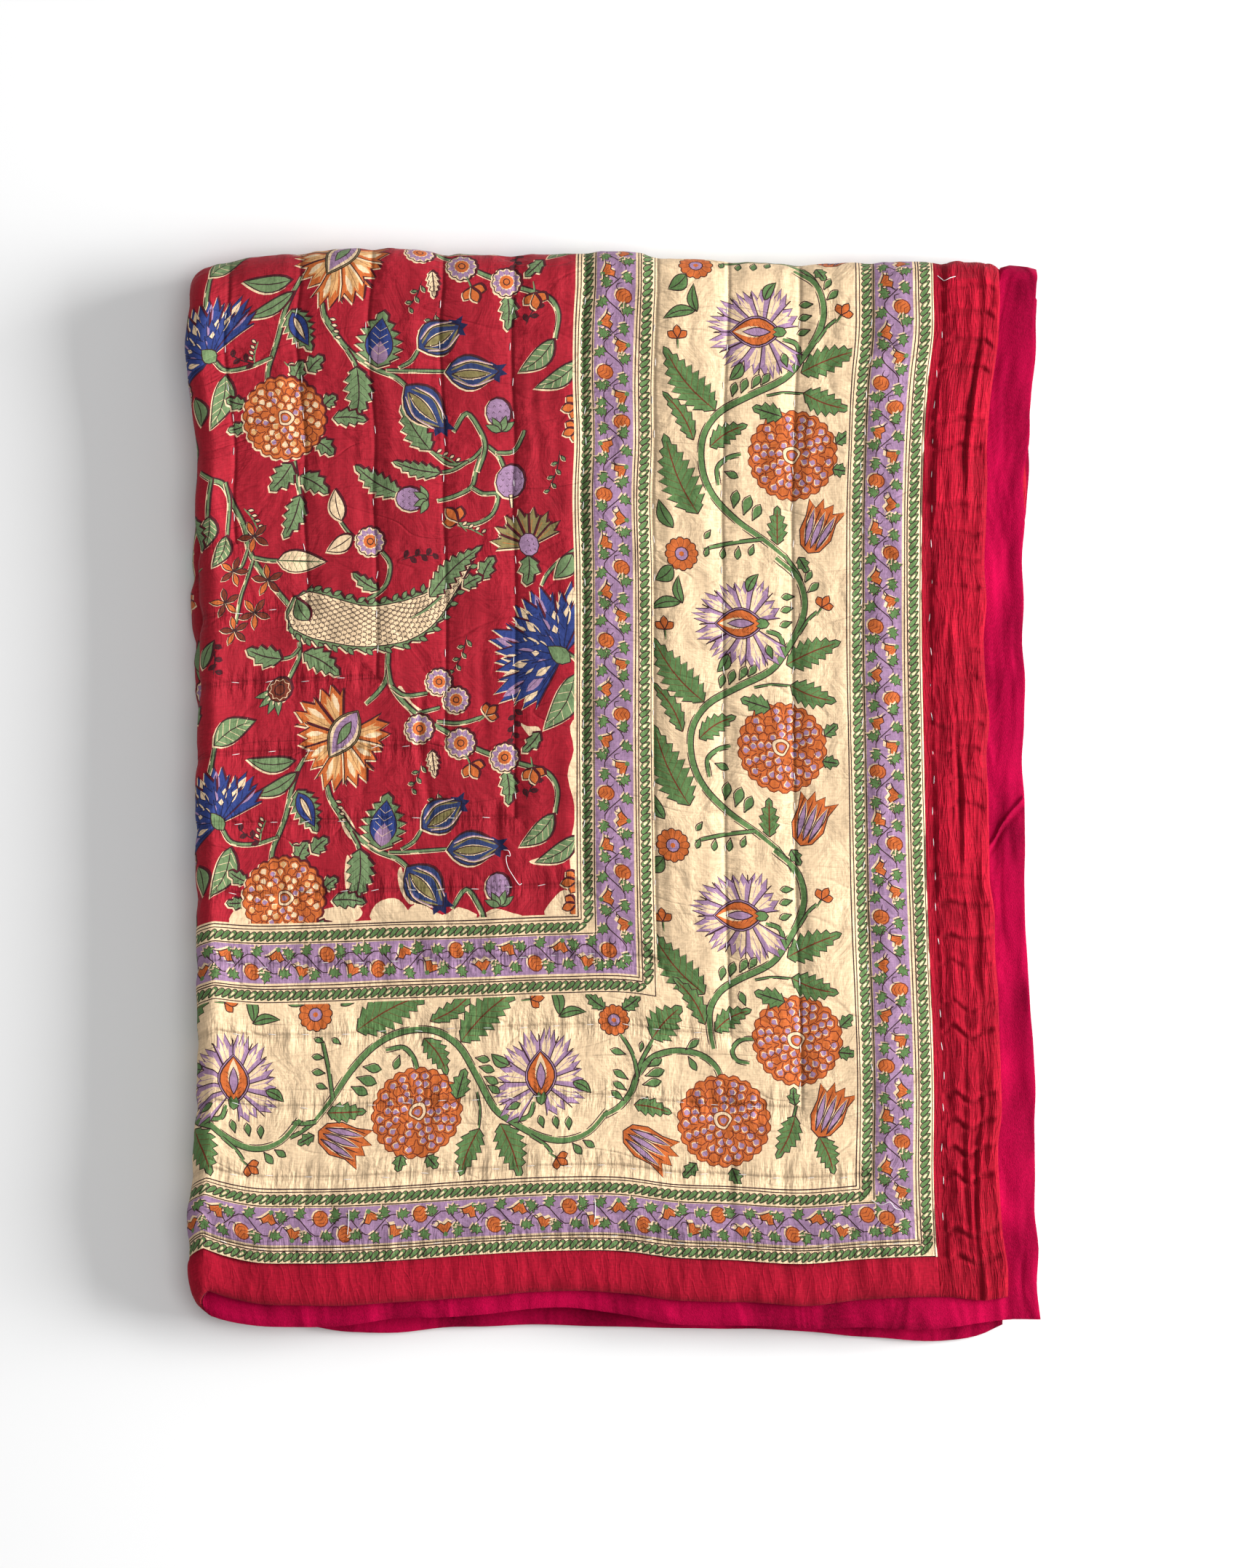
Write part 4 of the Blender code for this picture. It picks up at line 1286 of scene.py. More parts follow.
def draw_field(pen, number):
    """One block of the field: stems, twigs, leaves, and then the flowers."""
    if number == 0:
        for patch in BARE_PATCHES:
            pen.fill("cream", smooth(patch, 3, closed=True))
    draw_stems(pen, FIELD_STEMS, steps=4)
    for a, b, turn, length, count, kind in FIELD_TWIGS:
        sprig(pen.at(a, b, turn), length, count, kind)
    curled_leaf(pen, CURLED_SPINE, CURLED_WIDTHS)
    for kind, a, b, turn, length, width in FIELD_LEAVES:
        spot = pen.at(a, b, turn)
        if kind == "toothed":
            toothed_leaf(spot, length, width, 0.06, max(3, int(length / 6)))
        elif kind == "cream_toothed":
            toothed_leaf(spot, length, width, 0, 5, ink="cream")
        elif kind == "veined":
            veined_leaf(spot, length, width)
        elif kind == "bare":
            plain_leaf(spot, length, width, 0.05, ink="cream")
        else:
            plain_leaf(spot, length, width, 0.1, striped=kind == "striped")
    makers = {
        "star": star_flower, "daisy": daisy, "orange_carnation": orange_carnation,
        "blue_carnation": blue_carnation, "brown_bud": brown_bud, "bud": small_bud,
        "blue_leaf": blue_leaf, "pod": pod, "marigold": marigold, "thistle": thistle,
        "berries": berries, "olive_flower": olive_flower,
    }
    for kind, a, b, turn, *sizes in FIELD_FLOWERS:
        spot = pen.at(a, b, turn)
        if kind == "blue_leaf_bare":
            blue_leaf(spot, *sizes, bare=True)
        else:
            makers[kind](spot, *sizes)


def draw_strip(pen, length, outer):
    """A lilac strip between two rope bands, along +x with the field at +y.

    Its end is cut on the slant, so that two strips meet at a corner.
    """
    half = 14.8 if outer else 15.2
    for ink, side in (("cream", half + 16.5), ("lilac", half)):
        pen.fill(ink, [(0, -side), (length + side, -side), (length - side, side), (0, side)])
    lines = (
        (half + 0.9, 0.9), (half + 12.2, 0.8), (half + 14.4, 1),
        (-half - 2, 0.9), (-half - 4.4, 1), (-half - 14.6, 0.8),
    )
    for y, width in lines:
        places = np.linspace(0, length - y, int(length / 14) + 2)
        pen.line("dark", [(x, y + 0.25 * sin(x / 37 + y)) for x in places], width, taper=1)
    for y in (half + 6.4, -half - 9.4):
        rope(pen.at(0, y), length - y)
    reach = length + 0.4 * half
    for place in np.arange(-31 if outer else -12, reach, BLOCK_PITCH):
        start = max(place, 0)
        room = min(place + BLOCK_PITCH, reach) - start
        if room > 40:
            guard_block(pen.at(start, 0), room, 2 * half)


def draw_print(detail=True):
    """The printed quarter that lies on top, with some to spare past the folds."""
    shapes = []
    pen = Pen(shapes, fine=detail)
    on_red = Pen(shapes, on_red=True, fine=detail)
    pen.fill("red", box_points(DRAWN_LEFT, FIELD_LOW, FIELD_RIGHT, DRAWN_BACK))
    for number in (0, 1):
        draw_field(on_red.at(1.7 * number, FIELD_PITCH * number), number)
    low, right = PRINT_LOW - 10, PRINT_RIGHT + 10
    pen.fill("cream", box_points(DRAWN_LEFT, low, right, FIELD_LOW))
    pen.fill("cream", box_points(FIELD_RIGHT, low, right, DRAWN_BACK))
    for x, y in ((-62.2, -222.1), (-302.7, -220.1)):
        block = pen.at(x, y, -90)
        border_block(block, spread=0)
        stem(block, [(29.9, -176), (31, -186), (29.9, -195)], 3.2)
    for number, slip in enumerate((12, 0, -14, -20)):
        block = pen.at(106.2 + 0.6 * slip, 370.4 - BLOCK_PITCH * (number - 1))
        border_block(block, spread=18 if number == 3 else 8, last=number == 3)
    border_corner(pen)
    for x, y in (INNER_STRIP, OUTER_STRIP):
        outer = (x, y) == OUTER_STRIP
        draw_strip(pen.at(DRAWN_LEFT, y), x - DRAWN_LEFT, outer)
        draw_strip(pen.at(x, DRAWN_BACK, -90, flip=-1), DRAWN_BACK - y, outer)
    return shapes


def inked(points, shapes):
    """Number of the ink of the last shape that holds each point."""
    cell = 4
    low = points.min(axis=0)
    place = np.floor((points - low) / cell).astype(int)
    counts = place.max(axis=0) + 1
    code = place[:, 0] * counts[1] + place[:, 1]
    order = np.argsort(code, kind="stable")
    ordered = code[order]
    ink = np.zeros(len(points), dtype=int)
    for name, outline in shapes:
        first = np.maximum(np.floor((outline.min(axis=0) - low) / cell).astype(int), 0)
        last = np.minimum(np.floor((outline.max(axis=0) - low) / cell).astype(int), counts - 1)
        if first[0] > last[0] or first[1] > last[1]:
            continue
        rows = np.arange(first[0], last[0] + 1) * counts[1]
        starts = np.searchsorted(ordered, rows + first[1], "left")
        ends = np.searchsorted(ordered, rows + last[1], "right")
        near = np.concatenate([order[s:e] for s, e in zip(starts, ends)])
        if not len(near):
            continue
        x, y = points[near, 0:1], points[near, 1:2]
        x1, y1 = outline[:, 0], outline[:, 1]
        x2, y2 = np.roll(x1, -1), np.roll(y1, -1)
        rise = np.where(y2 == y1, 1e-12, y2 - y1)
        crossed = ((y1 > y) != (y2 > y)) & (x < (x2 - x1) * (y - y1) / rise + x1)
        inside = crossed.sum(axis=1) % 2 == 1
        ink[near[inside]] = INKS.index(name)
    return ink


def rectangle(low, high, step):
    """Points round a rectangle, in mm, anticlockwise and about a step apart."""
    across, along = (
        np.linspace(start, stop, max(2, int(round((stop - start) / step)) + 1))
        for start, stop in zip(low, high)
    )
    bottom = [(x, low[1]) for x in across[:-1]]
    right = [(high[0], y) for y in along[:-1]]
    top = [(x, high[1]) for x in across[:0:-1]]
    left = [(low[0], y) for y in along[:0:-1]]
    return np.array(bottom + right + top + left)


GRID = 64


def on_grid(points):
    """Points in mm moved to a fine grid, so that equal places are equal."""
    return np.round(np.asarray(points) * GRID) / GRID


def grid_keys(points):
    """Whole numbers that name the places of points in mm on that grid."""
    return [tuple(key) for key in np.round(points * GRID).astype(int).tolist()]


def cut_cloth(points, edges, loop_count):
    """Triangles of flat cloth, cut along the edges. The first points are its outline."""
    spots, index = np.unique(on_grid(points), axis=0, return_inverse=True)
    index = index.ravel()
    outline = index[:loop_count].tolist()
    pairs = np.unique(np.sort(index[np.asarray(edges, dtype=int).reshape(-1, 2)], axis=1), axis=0)
    pairs = pairs[pairs[:, 0] != pairs[:, 1]]
    verts = [Vector(point) for point in spots.tolist()]
    out = delaunay_2d_cdt(verts, pairs.tolist(), [outline], 1, 1e-4, True)
    flat = np.array([tuple(v) for v in out[0]])
    triangles = np.array([face for face in out[2] if len(face) == 3], dtype=int)
    low, high = spots[outline].min(axis=0), spots[outline].max(axis=0)
    middle = flat[triangles].mean(axis=1)
    triangles = triangles[np.all((middle > low) & (middle < high), axis=1)]
    used, triangles = np.unique(triangles, return_inverse=True)
    return flat[used], triangles.reshape(-1, 3)


def face_sides(triangles):
    """Each side of each triangle, low end first, with the triangle it belongs to."""
    sides = np.concatenate([triangles[:, [0, 1]], triangles[:, [1, 2]], triangles[:, [2, 0]]])
    owner = np.tile(np.arange(len(triangles)), 3)
    return np.sort(sides, axis=1), owner


def cut_short(flat, edges, longest):
    """Edges with extra points along the long ones, so that they follow the folded cloth."""
    ends = flat[edges]
    parts = np.maximum(np.ceil(np.hypot(*(ends[:, 1] - ends[:, 0]).T) / longest), 1).astype(int)
    used, index = np.unique(edges, return_inverse=True)
    index = index.reshape(edges.shape)
    points = [flat[used]]
    chains = [index[parts == 1]]
    count = len(used)
    for number in np.flatnonzero(parts > 1):
        share = np.arange(1, parts[number])[:, None] / parts[number]
        points.append(ends[number, 0] + (ends[number, 1] - ends[number, 0]) * share)
        chain = np.r_[index[number, 0], np.arange(count, count + len(share)), index[number, 1]]
        chains.append(np.c_[chain[:-1], chain[1:]])
        count += len(share)
    return np.concatenate(points), np.concatenate(chains)


def inner_grid(low, high, step, margin=0.4, rise=1, sway=0):
    """Points in rows inside a rectangle. Every other row may sway to the side."""
    x = np.arange(low[0] + step, high[0] - margin * step, step)
    y = np.arange(low[1] + step, high[1] - margin * step, step * rise)
    grid_x, grid_y = np.meshgrid(x, y)
    grid_x = grid_x + sway * step * np.where(np.arange(len(y)) % 2 == 1, 1, -1)[:, None]
    return np.c_[grid_x.ravel(), grid_y.ravel()]


# The even mesh keeps one cell of this size, in mm, away from the edges of the ink.
EDGE_CELL = 1.3


def printed_sheet(low, high, shapes, step):
    """Flat printed cloth between two corners: points, triangles and inks, in mm."""
    low, high = np.array(low, dtype=float), np.array(high, dtype=float)
    shapes = [
        (ink, on_grid(points)) for ink, points in shapes
        if np.all(points.max(axis=0) > low) and np.all(points.min(axis=0) < high)
    ]
    outline = rectangle(low, high, step)
    corners = np.concatenate([points for ink, points in shapes])
    counts = [len(points) for ink, points in shapes]
    starts = np.cumsum([0] + counts[:-1])
    after = [np.roll(np.arange(count), -1) + start for count, start in zip(counts, starts)]
    edges = np.c_[np.arange(len(corners)), np.concatenate(after)] + len(outline)
    flat, triangles = cut_cloth(np.concatenate([outline, corners]), edges, len(outline))
    ink = inked(flat[triangles].mean(axis=1), shapes)

    # Keep only the edges where one ink meets another, and add an even mesh between.
    sides, owner = face_sides(triangles)
    order = np.lexsort((sides[:, 1], sides[:, 0]))
    sides, owner = sides[order], owner[order]
    new = np.flatnonzero(np.r_[True, np.any(sides[1:] != sides[:-1], axis=1)])
    count = np.diff(np.r_[new, len(sides)])
    mate = np.minimum(new + 1, len(sides) - 1)
    kept = (count == 1) | (ink[owner[new]] != ink[owner[mate]])
    kept = sides[new[kept]]
    ink_points, index = cut_short(flat, kept, 0.9 * step)
    index = index + len(outline)
    grid = inner_grid(low, high, step, rise=0.87, sway=0.25)
    taken = set()
    for i, j in np.unique(np.floor(ink_points / EDGE_CELL).astype(int), axis=0).tolist():
        taken.update((i + x, j + y) for x in (-1, 0, 1) for y in (-1, 0, 1))
    cells = np.floor(grid / EDGE_CELL).astype(int).tolist()
    grid = grid[np.array([tuple(cell) not in taken for cell in cells])]
    everything = np.concatenate([outline, ink_points, grid])
    flat, triangles = cut_cloth(everything, index, len(outline))
    return flat, triangles, inked(flat[triangles].mean(axis=1), shapes)


def plain_sheet(low, high, step, finer=None):
    """Flat cloth with no print. A corner of it may be finer: where it ends, and its step."""
    outline = rectangle(low, high, step)
    points = inner_grid(low, high, step)
    if finer:
        corner, fine_step = finer
        points = points[np.any(points > np.array(corner), axis=1)]
        points = np.concatenate([points, inner_grid(low, corner, fine_step)])
    return cut_cloth(np.concatenate([outline, points]), [], len(outline))


def edge_loop(triangles):
    """The edge of a sheet, in order and anticlockwise."""
    sides = set()
    for p, q, r in triangles.tolist():
        sides.update(((p, q), (q, r), (r, p)))
    ahead = {p: q for p, q in sides if (q, p) not in sides}
    first = min(ahead)
    loop = [first]
    while ahead[loop[-1]] != first:
        loop.append(ahead[loop[-1]])
    return loop


LATTICE_SIZE = 96


@functools.cache
def lattice(seed):
    return np.random.default_rng(seed).random((LATTICE_SIZE, LATTICE_SIZE)) * 2 - 1


def noise(u, v, seed):
    """Smooth uneven value between -1 and 1, about one bump to a unit."""
    grid = lattice(seed)
    i, j = np.floor(u).astype(int), np.floor(v).astype(int)
    s, t = ease(u - i), ease(v - j)
    i0, i1, j0, j1 = (number % LATTICE_SIZE for number in (i, i + 1, j, j + 1))
    low = blend(grid[i0, j0], grid[i1, j0], s)
    high = blend(grid[i0, j1], grid[i1, j1], s)
    return blend(low, high, t)


# Main creases of the top, in mm: a and b of both ends, depth (a ridge is negative)
# and half width.
CREASES = (
    (-155, 78, -152, -16, 1.6, 3),
    (-160, 86, -158, -20, -0.9, 5),
    (-94, -6, -90, -70, 1.3, 3),
    (-198, 42, -200, -70, 0.9, 3.5),
    (-104, 140, -108, 46, 0.9, 4),
    (-290, 96, -288, 36, 0.8, 3.5),
    (-206, 300, -204, 210, 0.8, 4),
    (-62, 330, -64, 250, 0.9, 4),
    (-150, 372, -60, 356, 0.8, 4.5),
    (-300, 330, -240, 352, 0.8, 4.5),
    (-120, 216, -20, 208, 0.9, 4),
    (-250, 205, -170, 214, 0.8, 4),
    (-186, 166, -110, 160, 0.7, 4),
    (60, 300, 150, 292, 0.9, 3.5),
    (48, 120, 170, 112, 0.8, 3.5),
    (70, -10, 176, -22, 0.9, 3.5),
    (44, 210, 120, 216, 0.7, 3.5),
    (120, -96, 190, -108, 0.9, 3.5),
    (-250, -190, -170, -186, 0.8, 3.5),
    (-120, -260, -30, -254, 0.8, 3.5),
    (10, -200, 90, -206, 0.8, 3.5),
    (-20, -290, -18, -340, 0.9, 3),
    (-220, -280, -224, -340, 0.9, 3),
    (90, -286, 86, -344, 0.9, 3),
    (160, 380, 166, 320, 0.8, 3),
    (206, 200, 236, 196, 1, 3),
    (200, 60, 238, 54, 1, 3),
    (204, -70, 240, -76, 1, 3),
    (202, -190, 240, -198, 1, 3),
)


def crease_relief(a, b):
    """The main creases, as soft troughs and ridges that fade out at their ends."""
    x, y = a / MM, b / MM
    total = np.zeros_like(x)
    for x0, y0, x1, y1, depth, width in CREASES:
        run = hypot(x1 - x0, y1 - y0)
        ux, uy = (x1 - x0) / run, (y1 - y0) / run
        along = ((x - x0) * ux + (y - y0) * uy) / run
        across = (y - y0) * ux - (x - x0) * uy + 3 * np.sin(along * 5)
        fade = ease(along * 4 + 0.5) * ease((1 - along) * 4 + 0.5)
        total -= depth * fade * hump(across, width)
    return total * MM


def puckers(a, b):
    """Rise of the printed cloth over its plain quilted form."""
    sides, ends = from_side(a), from_end(b)
    distance = np.minimum(sides, ends)
    mitre = ease(np.abs(sides - ends) / 0.03)
    along = np.where(sides < ends, b, a)
    rows = (distance - FIRST_ROW) / ROW_PITCH
    number = np.round(rows)
    from_row = np.abs(rows - number) * ROW_PITCH
    gathered = noise(along / 0.011 + 7.3 * number, from_row / 0.05, 3)
    gathered += 0.6 * noise(along / 0.0055 + 3.1 * number, from_row / 0.03, 11)
    gathered *= hump(from_row, 0.015)
    streaks = noise(along / 0.075, distance / 0.012, 5)
    streaks += 0.6 * noise(along / 0.04, distance / 0.0065, 17)
    broad = noise(a / 0.085 + 0.3, b / 0.095, 7)
    cross = noise(along / 0.016, distance / 0.06, 23)
    rise = 0.0008 * gathered + 0.0005 * streaks * mitre + 0.0011 * broad + 0.0005 * cross * mitre
    return rise + crease_relief(a, b)


def face_with(relief):
    """Depth of a face whose own relief rises on the outside of the stack alone."""
    def depth(a, b, thickness):
        outside = ease((a - (FOLD_SIDE - SIDE_ARC) + 0.01) / 0.02)
        return print_depth(a, b, thickness) - relief(a, b) * outside
    return depth


def side_band_relief(a, along):
    """Wrinkles along a band, the gathers across it and the smooth strip at its seam."""
    across = from_side(a)
    edge = across + 0.0009 * noise(along / 0.012, along * 0, 29)
    smooth_strip = ease((edge - 0.0428) / 0.0016)
    fine = noise(across / 0.0056, along / 0.034, 31)
    fine += 0.5 * noise(across / 0.0034, along / 0.014, 37)
    cross = noise(across / 0.03, along / 0.0085, 41)
    broad = noise(across / 0.05, along / 0.05, 43)
    places = np.array(CREASE_PLACES) - 0.003
    wander = along + 0.005 * noise(across / 0.012, along / 0.09, 47)
    away = np.subtract.outer(wander, np.concatenate([places, places + 0.021]))
    nearest = np.argmin(np.abs(away), axis=-1)[..., None]
    away = np.take_along_axis(away, nearest, axis=-1)[..., 0]
    strength = 0.55 + 0.45 * noise(across / 0.05, along / 0.05, 49)
    strength *= ease((across - 0.002) / 0.006)
    crease = hump(away, 0.0021) - 0.65 * hump(away - 0.0045, 0.0036)
    rise = 0.0012 * fine + 0.0007 * cross + 0.0016 * broad - 0.003 * strength * crease
    for place, seed in ((0.016, 81), (0.028, 85)):
        off = across - place - 0.005 * noise(along / 0.12, along * 0, seed)
        pleat = hump(off, 0.0015) - 0.6 * hump(off + 0.0034, 0.0022)
        rise -= 0.0028 * pleat * ease(0.4 + noise(along / 0.1, along * 0 + 0.5, seed + 2))
    return rise * (1 - 0.85 * smooth_strip) + 0.0014 * (1 - smooth_strip)


def end_band_relief(along, b):
    """Gathers across an end band, its soft swell and the dip at its seam."""
    across = from_end(b)
    gathers = noise(along / 0.009, across / 0.03, 51)
    gathers += 0.6 * noise(along / 0.0045, across / 0.02, 53)
    broad = noise(along / 0.06, across / 0.05, 57)
    seam = hump(END_BAND - across, 0.003)
    puff = np.sin(pi * np.clip(across / END_BAND, 0, 1)) ** 0.7
    return 0.0006 * gathers + 0.0012 * broad + 0.0022 * puff - 0.0016 * seam


# The slanting crease in the velvet beside the middle row: where it starts across and
# along, its direction, its length, depth and half width.
VELVET_CREASE = (0.268, -0.028)
CREASE_HEADING = (0.656, 0.755)
VELVET_CREASE_LENGTH = 0.054
VELVET_CREASE_DEPTH = 0.0028
VELVET_CREASE_WIDTH = 0.0013


def velvet_face(a, b, thickness):
    """Nap side of the velvet, with the long soft folds it takes beside the hem."""
    across = from_side(a)
    near_hem = 1 - ease((across - 0.09) / 0.05)
    folds = 0.0012 * noise(across / 0.016, b / 0.09, 61)
    folds += 0.001 * noise(across / 0.05, b / 0.05, 67)
    folds += 0.0005 * noise(across / 0.006, b / 0.03, 69)
    run, rise = HEM_SIDE - across - VELVET_CREASE[0], b - VELVET_CREASE[1]
    c, s = CREASE_HEADING
    past, off = c * run + s * rise, s * run - c * rise
    crease = hump(off, VELVET_CREASE_WIDTH) - 0.4 * hump(off - 0.0036, 2 * VELVET_CREASE_WIDTH)
    crease *= ease((past + 0.012) / 0.01) * ease((VELVET_CREASE_LENGTH - past) / 0.01)
    return velvet_depth(a, b, thickness) + (folds + VELVET_CREASE_DEPTH * crease) * near_hem


# The least height of a piece over the table.
OFF_TABLE = 0.0002


def cloth_normals(flat, depth, outward):
    """Normals of a face of the folded cloth, from its own slope."""
    a, b = flat[:, 0], flat[:, 1]
    step = 0.0012
    run = fold_up(a + step, b, depth) - fold_up(a - step, b, depth)
    rise = fold_up(a, b + step, depth) - fold_up(a, b - step, depth)
    normal = np.cross(run, rise)
    size = np.maximum(np.linalg.norm(normal, axis=1), 1e-12)
    return outward * normal / size[:, None]


def new_object(name, data):
    made = bpy.data.objects.new(name, data)
    bpy.context.collection.objects.link(made)
    return made


def new_piece(name, points, triangles, material):
    """A mesh object from arrays, with its faces shaded smooth."""
    mesh = bpy.data.meshes.new(name)
    mesh.vertices.add(len(points))
    mesh.vertices.foreach_set("co", np.asarray(points, dtype=np.float32).ravel())
    mesh.loops.add(3 * len(triangles))
    mesh.polygons.add(len(triangles))
    mesh.loops.foreach_set("vertex_index", np.asarray(triangles, dtype=np.int32).ravel())
    mesh.polygons.foreach_set("loop_start", np.arange(0, 3 * len(triangles), 3, dtype=np.int32))
    mesh.update(calc_edges=True)
    mesh.validate()
    mesh.polygons.foreach_set("use_smooth", np.ones(len(mesh.polygons), dtype=bool))
    mesh.materials.append(material)
    return new_object(name, mesh)


def lay_flat_map(piece, flat):
    """The piece's own map in metres on the flat quilt, for weave and wash."""
    mesh = piece.data
    corner = np.empty(len(mesh.loops), dtype=np.int32)
    mesh.loops.foreach_get("vertex_index", corner)
    layer = mesh.uv_layers.new(name="cloth")
    layer.data.foreach_set("uv", flat[corner].astype(np.float32).ravel())
    return corner


def lay_bake_map(piece, flat, corner, front_faces, low, high, lanes):
    """A second map that packs the front face into a square, in lanes side by side."""
    size = np.array(high) - np.array(low)
    place = (flat[corner] - np.array(low)) / size
    middle = place.reshape(-1, 3, 2).mean(axis=1)
    lane = np.repeat(np.clip(np.floor(middle[:, 1] * lanes), 0, lanes - 1), 3)
    margin = 0.012
    u = (lane + margin * 2 + place[:, 0] * (1 - 4 * margin)) / lanes
    v = (place[:, 1] * lanes - lane) * 0.92 + 0.01
    back = np.repeat(np.arange(len(corner) // 3) >= front_faces, 3)
    u = np.where(back, 0.01 + 0.98 * place[:, 0], u)
    v = np.where(back, 0.965 + 0.03 * place[:, 1], v)
    layer = piece.data.uv_layers.new(name="OFBake")
    layer.data.foreach_set("uv", np.c_[u, v].astype(np.float32).ravel())
    piece.data.uv_layers["cloth"].active = True


def filled_piece(
    name, flat, triangles, material, front_depth, back_depth, back_step,
    lanes=1, ink=None, outward=1,
):
    """A closed, filled piece of quilt: face, back and the edge between them.

    Its flat face is in mm. With outward -1 the face is the one that looks down.
    """
    flat = flat * MM
    loop = np.array(edge_loop(triangles))
    count = len(flat)
    rim = flat[loop]
    low, high = flat.min(axis=0), flat.max(axis=0)
    inner = inner_grid(low, high, back_step, margin=0.5)
    back_flat, back_faces = cut_cloth(np.concatenate([rim[::outward], inner]) / MM, [], len(rim))
    found = {key: number for number, key in enumerate(grid_keys(back_flat))}
    back_rim = count + np.array([found[key] for key in grid_keys(rim / MM)])
    back_flat = back_flat * MM
    front = fold_up(flat[:, 0], flat[:, 1], front_depth)
    back = fold_up(back_flat[:, 0], back_flat[:, 1], back_depth)
    after, back_after = np.roll(loop, -1), np.roll(back_rim, -1)
    wall_a = np.c_[loop, back_rim, after]
    wall_b = np.c_[after, back_rim, back_after][back_rim != back_after]
    faces = np.concatenate([triangles, wall_a, wall_b, back_faces[:, ::-outward] + count])
    points = np.concatenate([front, back])
    points[:, 2] = np.maximum(points[:, 2], OFF_TABLE)
    piece = new_piece(name, points, faces, material)
    both = np.concatenate([flat, back_flat])
    corner = lay_flat_map(piece, both)
    lay_bake_map(piece, both, corner, len(triangles), low, high, lanes)
    if ink is not None:
        table = np.array([(*linear(INK_COLOURS[name]), 1) for name in INKS])
        colours = np.tile(table[INKS.index("red")], (len(faces), 1))
        colours[: len(triangles)] = table[ink]
        layer = piece.data.color_attributes.new("ink", "BYTE_COLOR", "CORNER")
        layer.data.foreach_set("color", np.repeat(colours, 3, axis=0).astype(np.float32).ravel())
    normals = np.concatenate([
        cloth_normals(flat, front_depth, outward),
        cloth_normals(back_flat, back_depth, -outward),
    ])
    piece.data.normals_split_custom_set_from_vertices(normals.tolist())
    return piece


def linear(colour):
    """Linear values of a colour given as 0 to 255."""
    values = np.array(colour) / 255
    return tuple(np.where(values <= 0.04045, values / 12.92, ((values + 0.055) / 1.055) ** 2.4))


def add_node(tree, kind, place, **settings):
    """A node of a kind at a place, with its settings and its plain input values."""
    made = tree.nodes.new(kind)
    made.location = place
    for name, value in settings.items():
        if hasattr(made, name):
            setattr(made, name, value)
        else:
            made.inputs[name.replace("_", " ")].default_value = value
    return made


def calc(tree, operation, *inputs):
    """A maths node fed by plain values or by the outputs of other nodes."""
    made = tree.nodes.new("ShaderNodeMath")
    made.operation = operation
    for socket, value in zip(made.inputs, inputs):
        if isinstance(value, (int, float)):
            socket.default_value = value
        else:
            tree.links.new(value, socket)
    return made.outputs[0]


def take_apart(tree, vector):
    """The three parts of a vector."""
    made = add_node(tree, "ShaderNodeSeparateXYZ", (-700, 0))
    tree.links.new(vector, made.inputs[0])
    return made.outputs


def put_together(tree, *parts):
    made = add_node(tree, "ShaderNodeCombineXYZ", (-600, 0))
    for socket, part in zip(made.inputs, parts):
        tree.links.new(part, socket)
    return made.outputs[0]


def hem_gap(tree, place, first, last):
    """Distance of a flat place from the nearer of two hems."""
    return calc(tree, "MINIMUM", calc(tree, "SUBTRACT", first, place), calc(tree, "SUBTRACT", place, last))


def new_group(name, inputs, outputs):
    """A node group with a flat map going in, and plain values in and out."""
    tree = bpy.data.node_groups.new(name, "ShaderNodeTree")
    tree.interface.new_socket("Map", in_out="INPUT", socket_type="NodeSocketVector")
    for socket in inputs:
        tree.interface.new_socket(socket, in_out="INPUT", socket_type="NodeSocketFloat")
    for socket in outputs:
        tree.interface.new_socket(socket, in_out="OUTPUT", socket_type="NodeSocketFloat")
    source = add_node(tree, "NodeGroupInput", (-900, 0))
    sink = add_node(tree, "NodeGroupOutput", (900, 0))
    return tree, source.outputs, sink.inputs


def stretched_noise(tree, place, stretch, **settings):
    """Noise on a map stretched by three amounts, centred on zero."""
    run = add_node(tree, "ShaderNodeVectorMath", (-500, 0), operation="MULTIPLY")
    run.inputs[1].default_value = stretch
    tree.links.new(place, run.inputs[0])
    grain = add_node(tree, "ShaderNodeTexNoise", (-300, 0), Scale=1, **settings)
    tree.links.new(run.outputs[0], grain.inputs["Vector"])
    return calc(tree, "SUBTRACT", grain.outputs["Fac"], 0.5)


def weave_group():
    """Slub and weave of plain cotton: its height in metres and its lighter threads."""
    tree, ins, outs = new_group("Cotton weave", (), ("Height", "Slub"))
    warp = stretched_noise(tree, ins["Map"], (1300, 90, 1), Detail=2)
    weft = stretched_noise(tree, ins["Map"], (90, 1300, 1), Detail=2)
    both = calc(tree, "ADD", warp, weft)
    tree.links.new(calc(tree, "MULTIPLY", both, 0.0001), outs["Height"])
    tree.links.new(calc(tree, "MULTIPLY_ADD", both, 0.55, 1), outs["Slub"])
    return tree


def wash_group():
    """Uneven dye: broad clouds and a fine grain, as a lightness to multiply by."""
    tree, ins, outs = new_group("Uneven dye", ("Cloud", "Grain"), ("Lightness",))
    broad = stretched_noise(tree, ins["Map"], (14, 14, 1), Detail=3)
    grain = stretched_noise(tree, ins["Map"], (420, 420, 1), Detail=2)
    clouds = calc(tree, "MULTIPLY_ADD", broad, ins["Cloud"], 1)
    total = calc(tree, "MULTIPLY_ADD", grain, ins["Grain"], clouds)
    tree.links.new(total, outs["Lightness"])
    return tree


def bell(tree, value, width):
    """1 where the value is 0, falling away on both sides."""
    share = calc(tree, "DIVIDE", value, width)
    return calc(tree, "EXPONENT", calc(tree, "MULTIPLY", calc(tree, "MULTIPLY", share, share), -1))


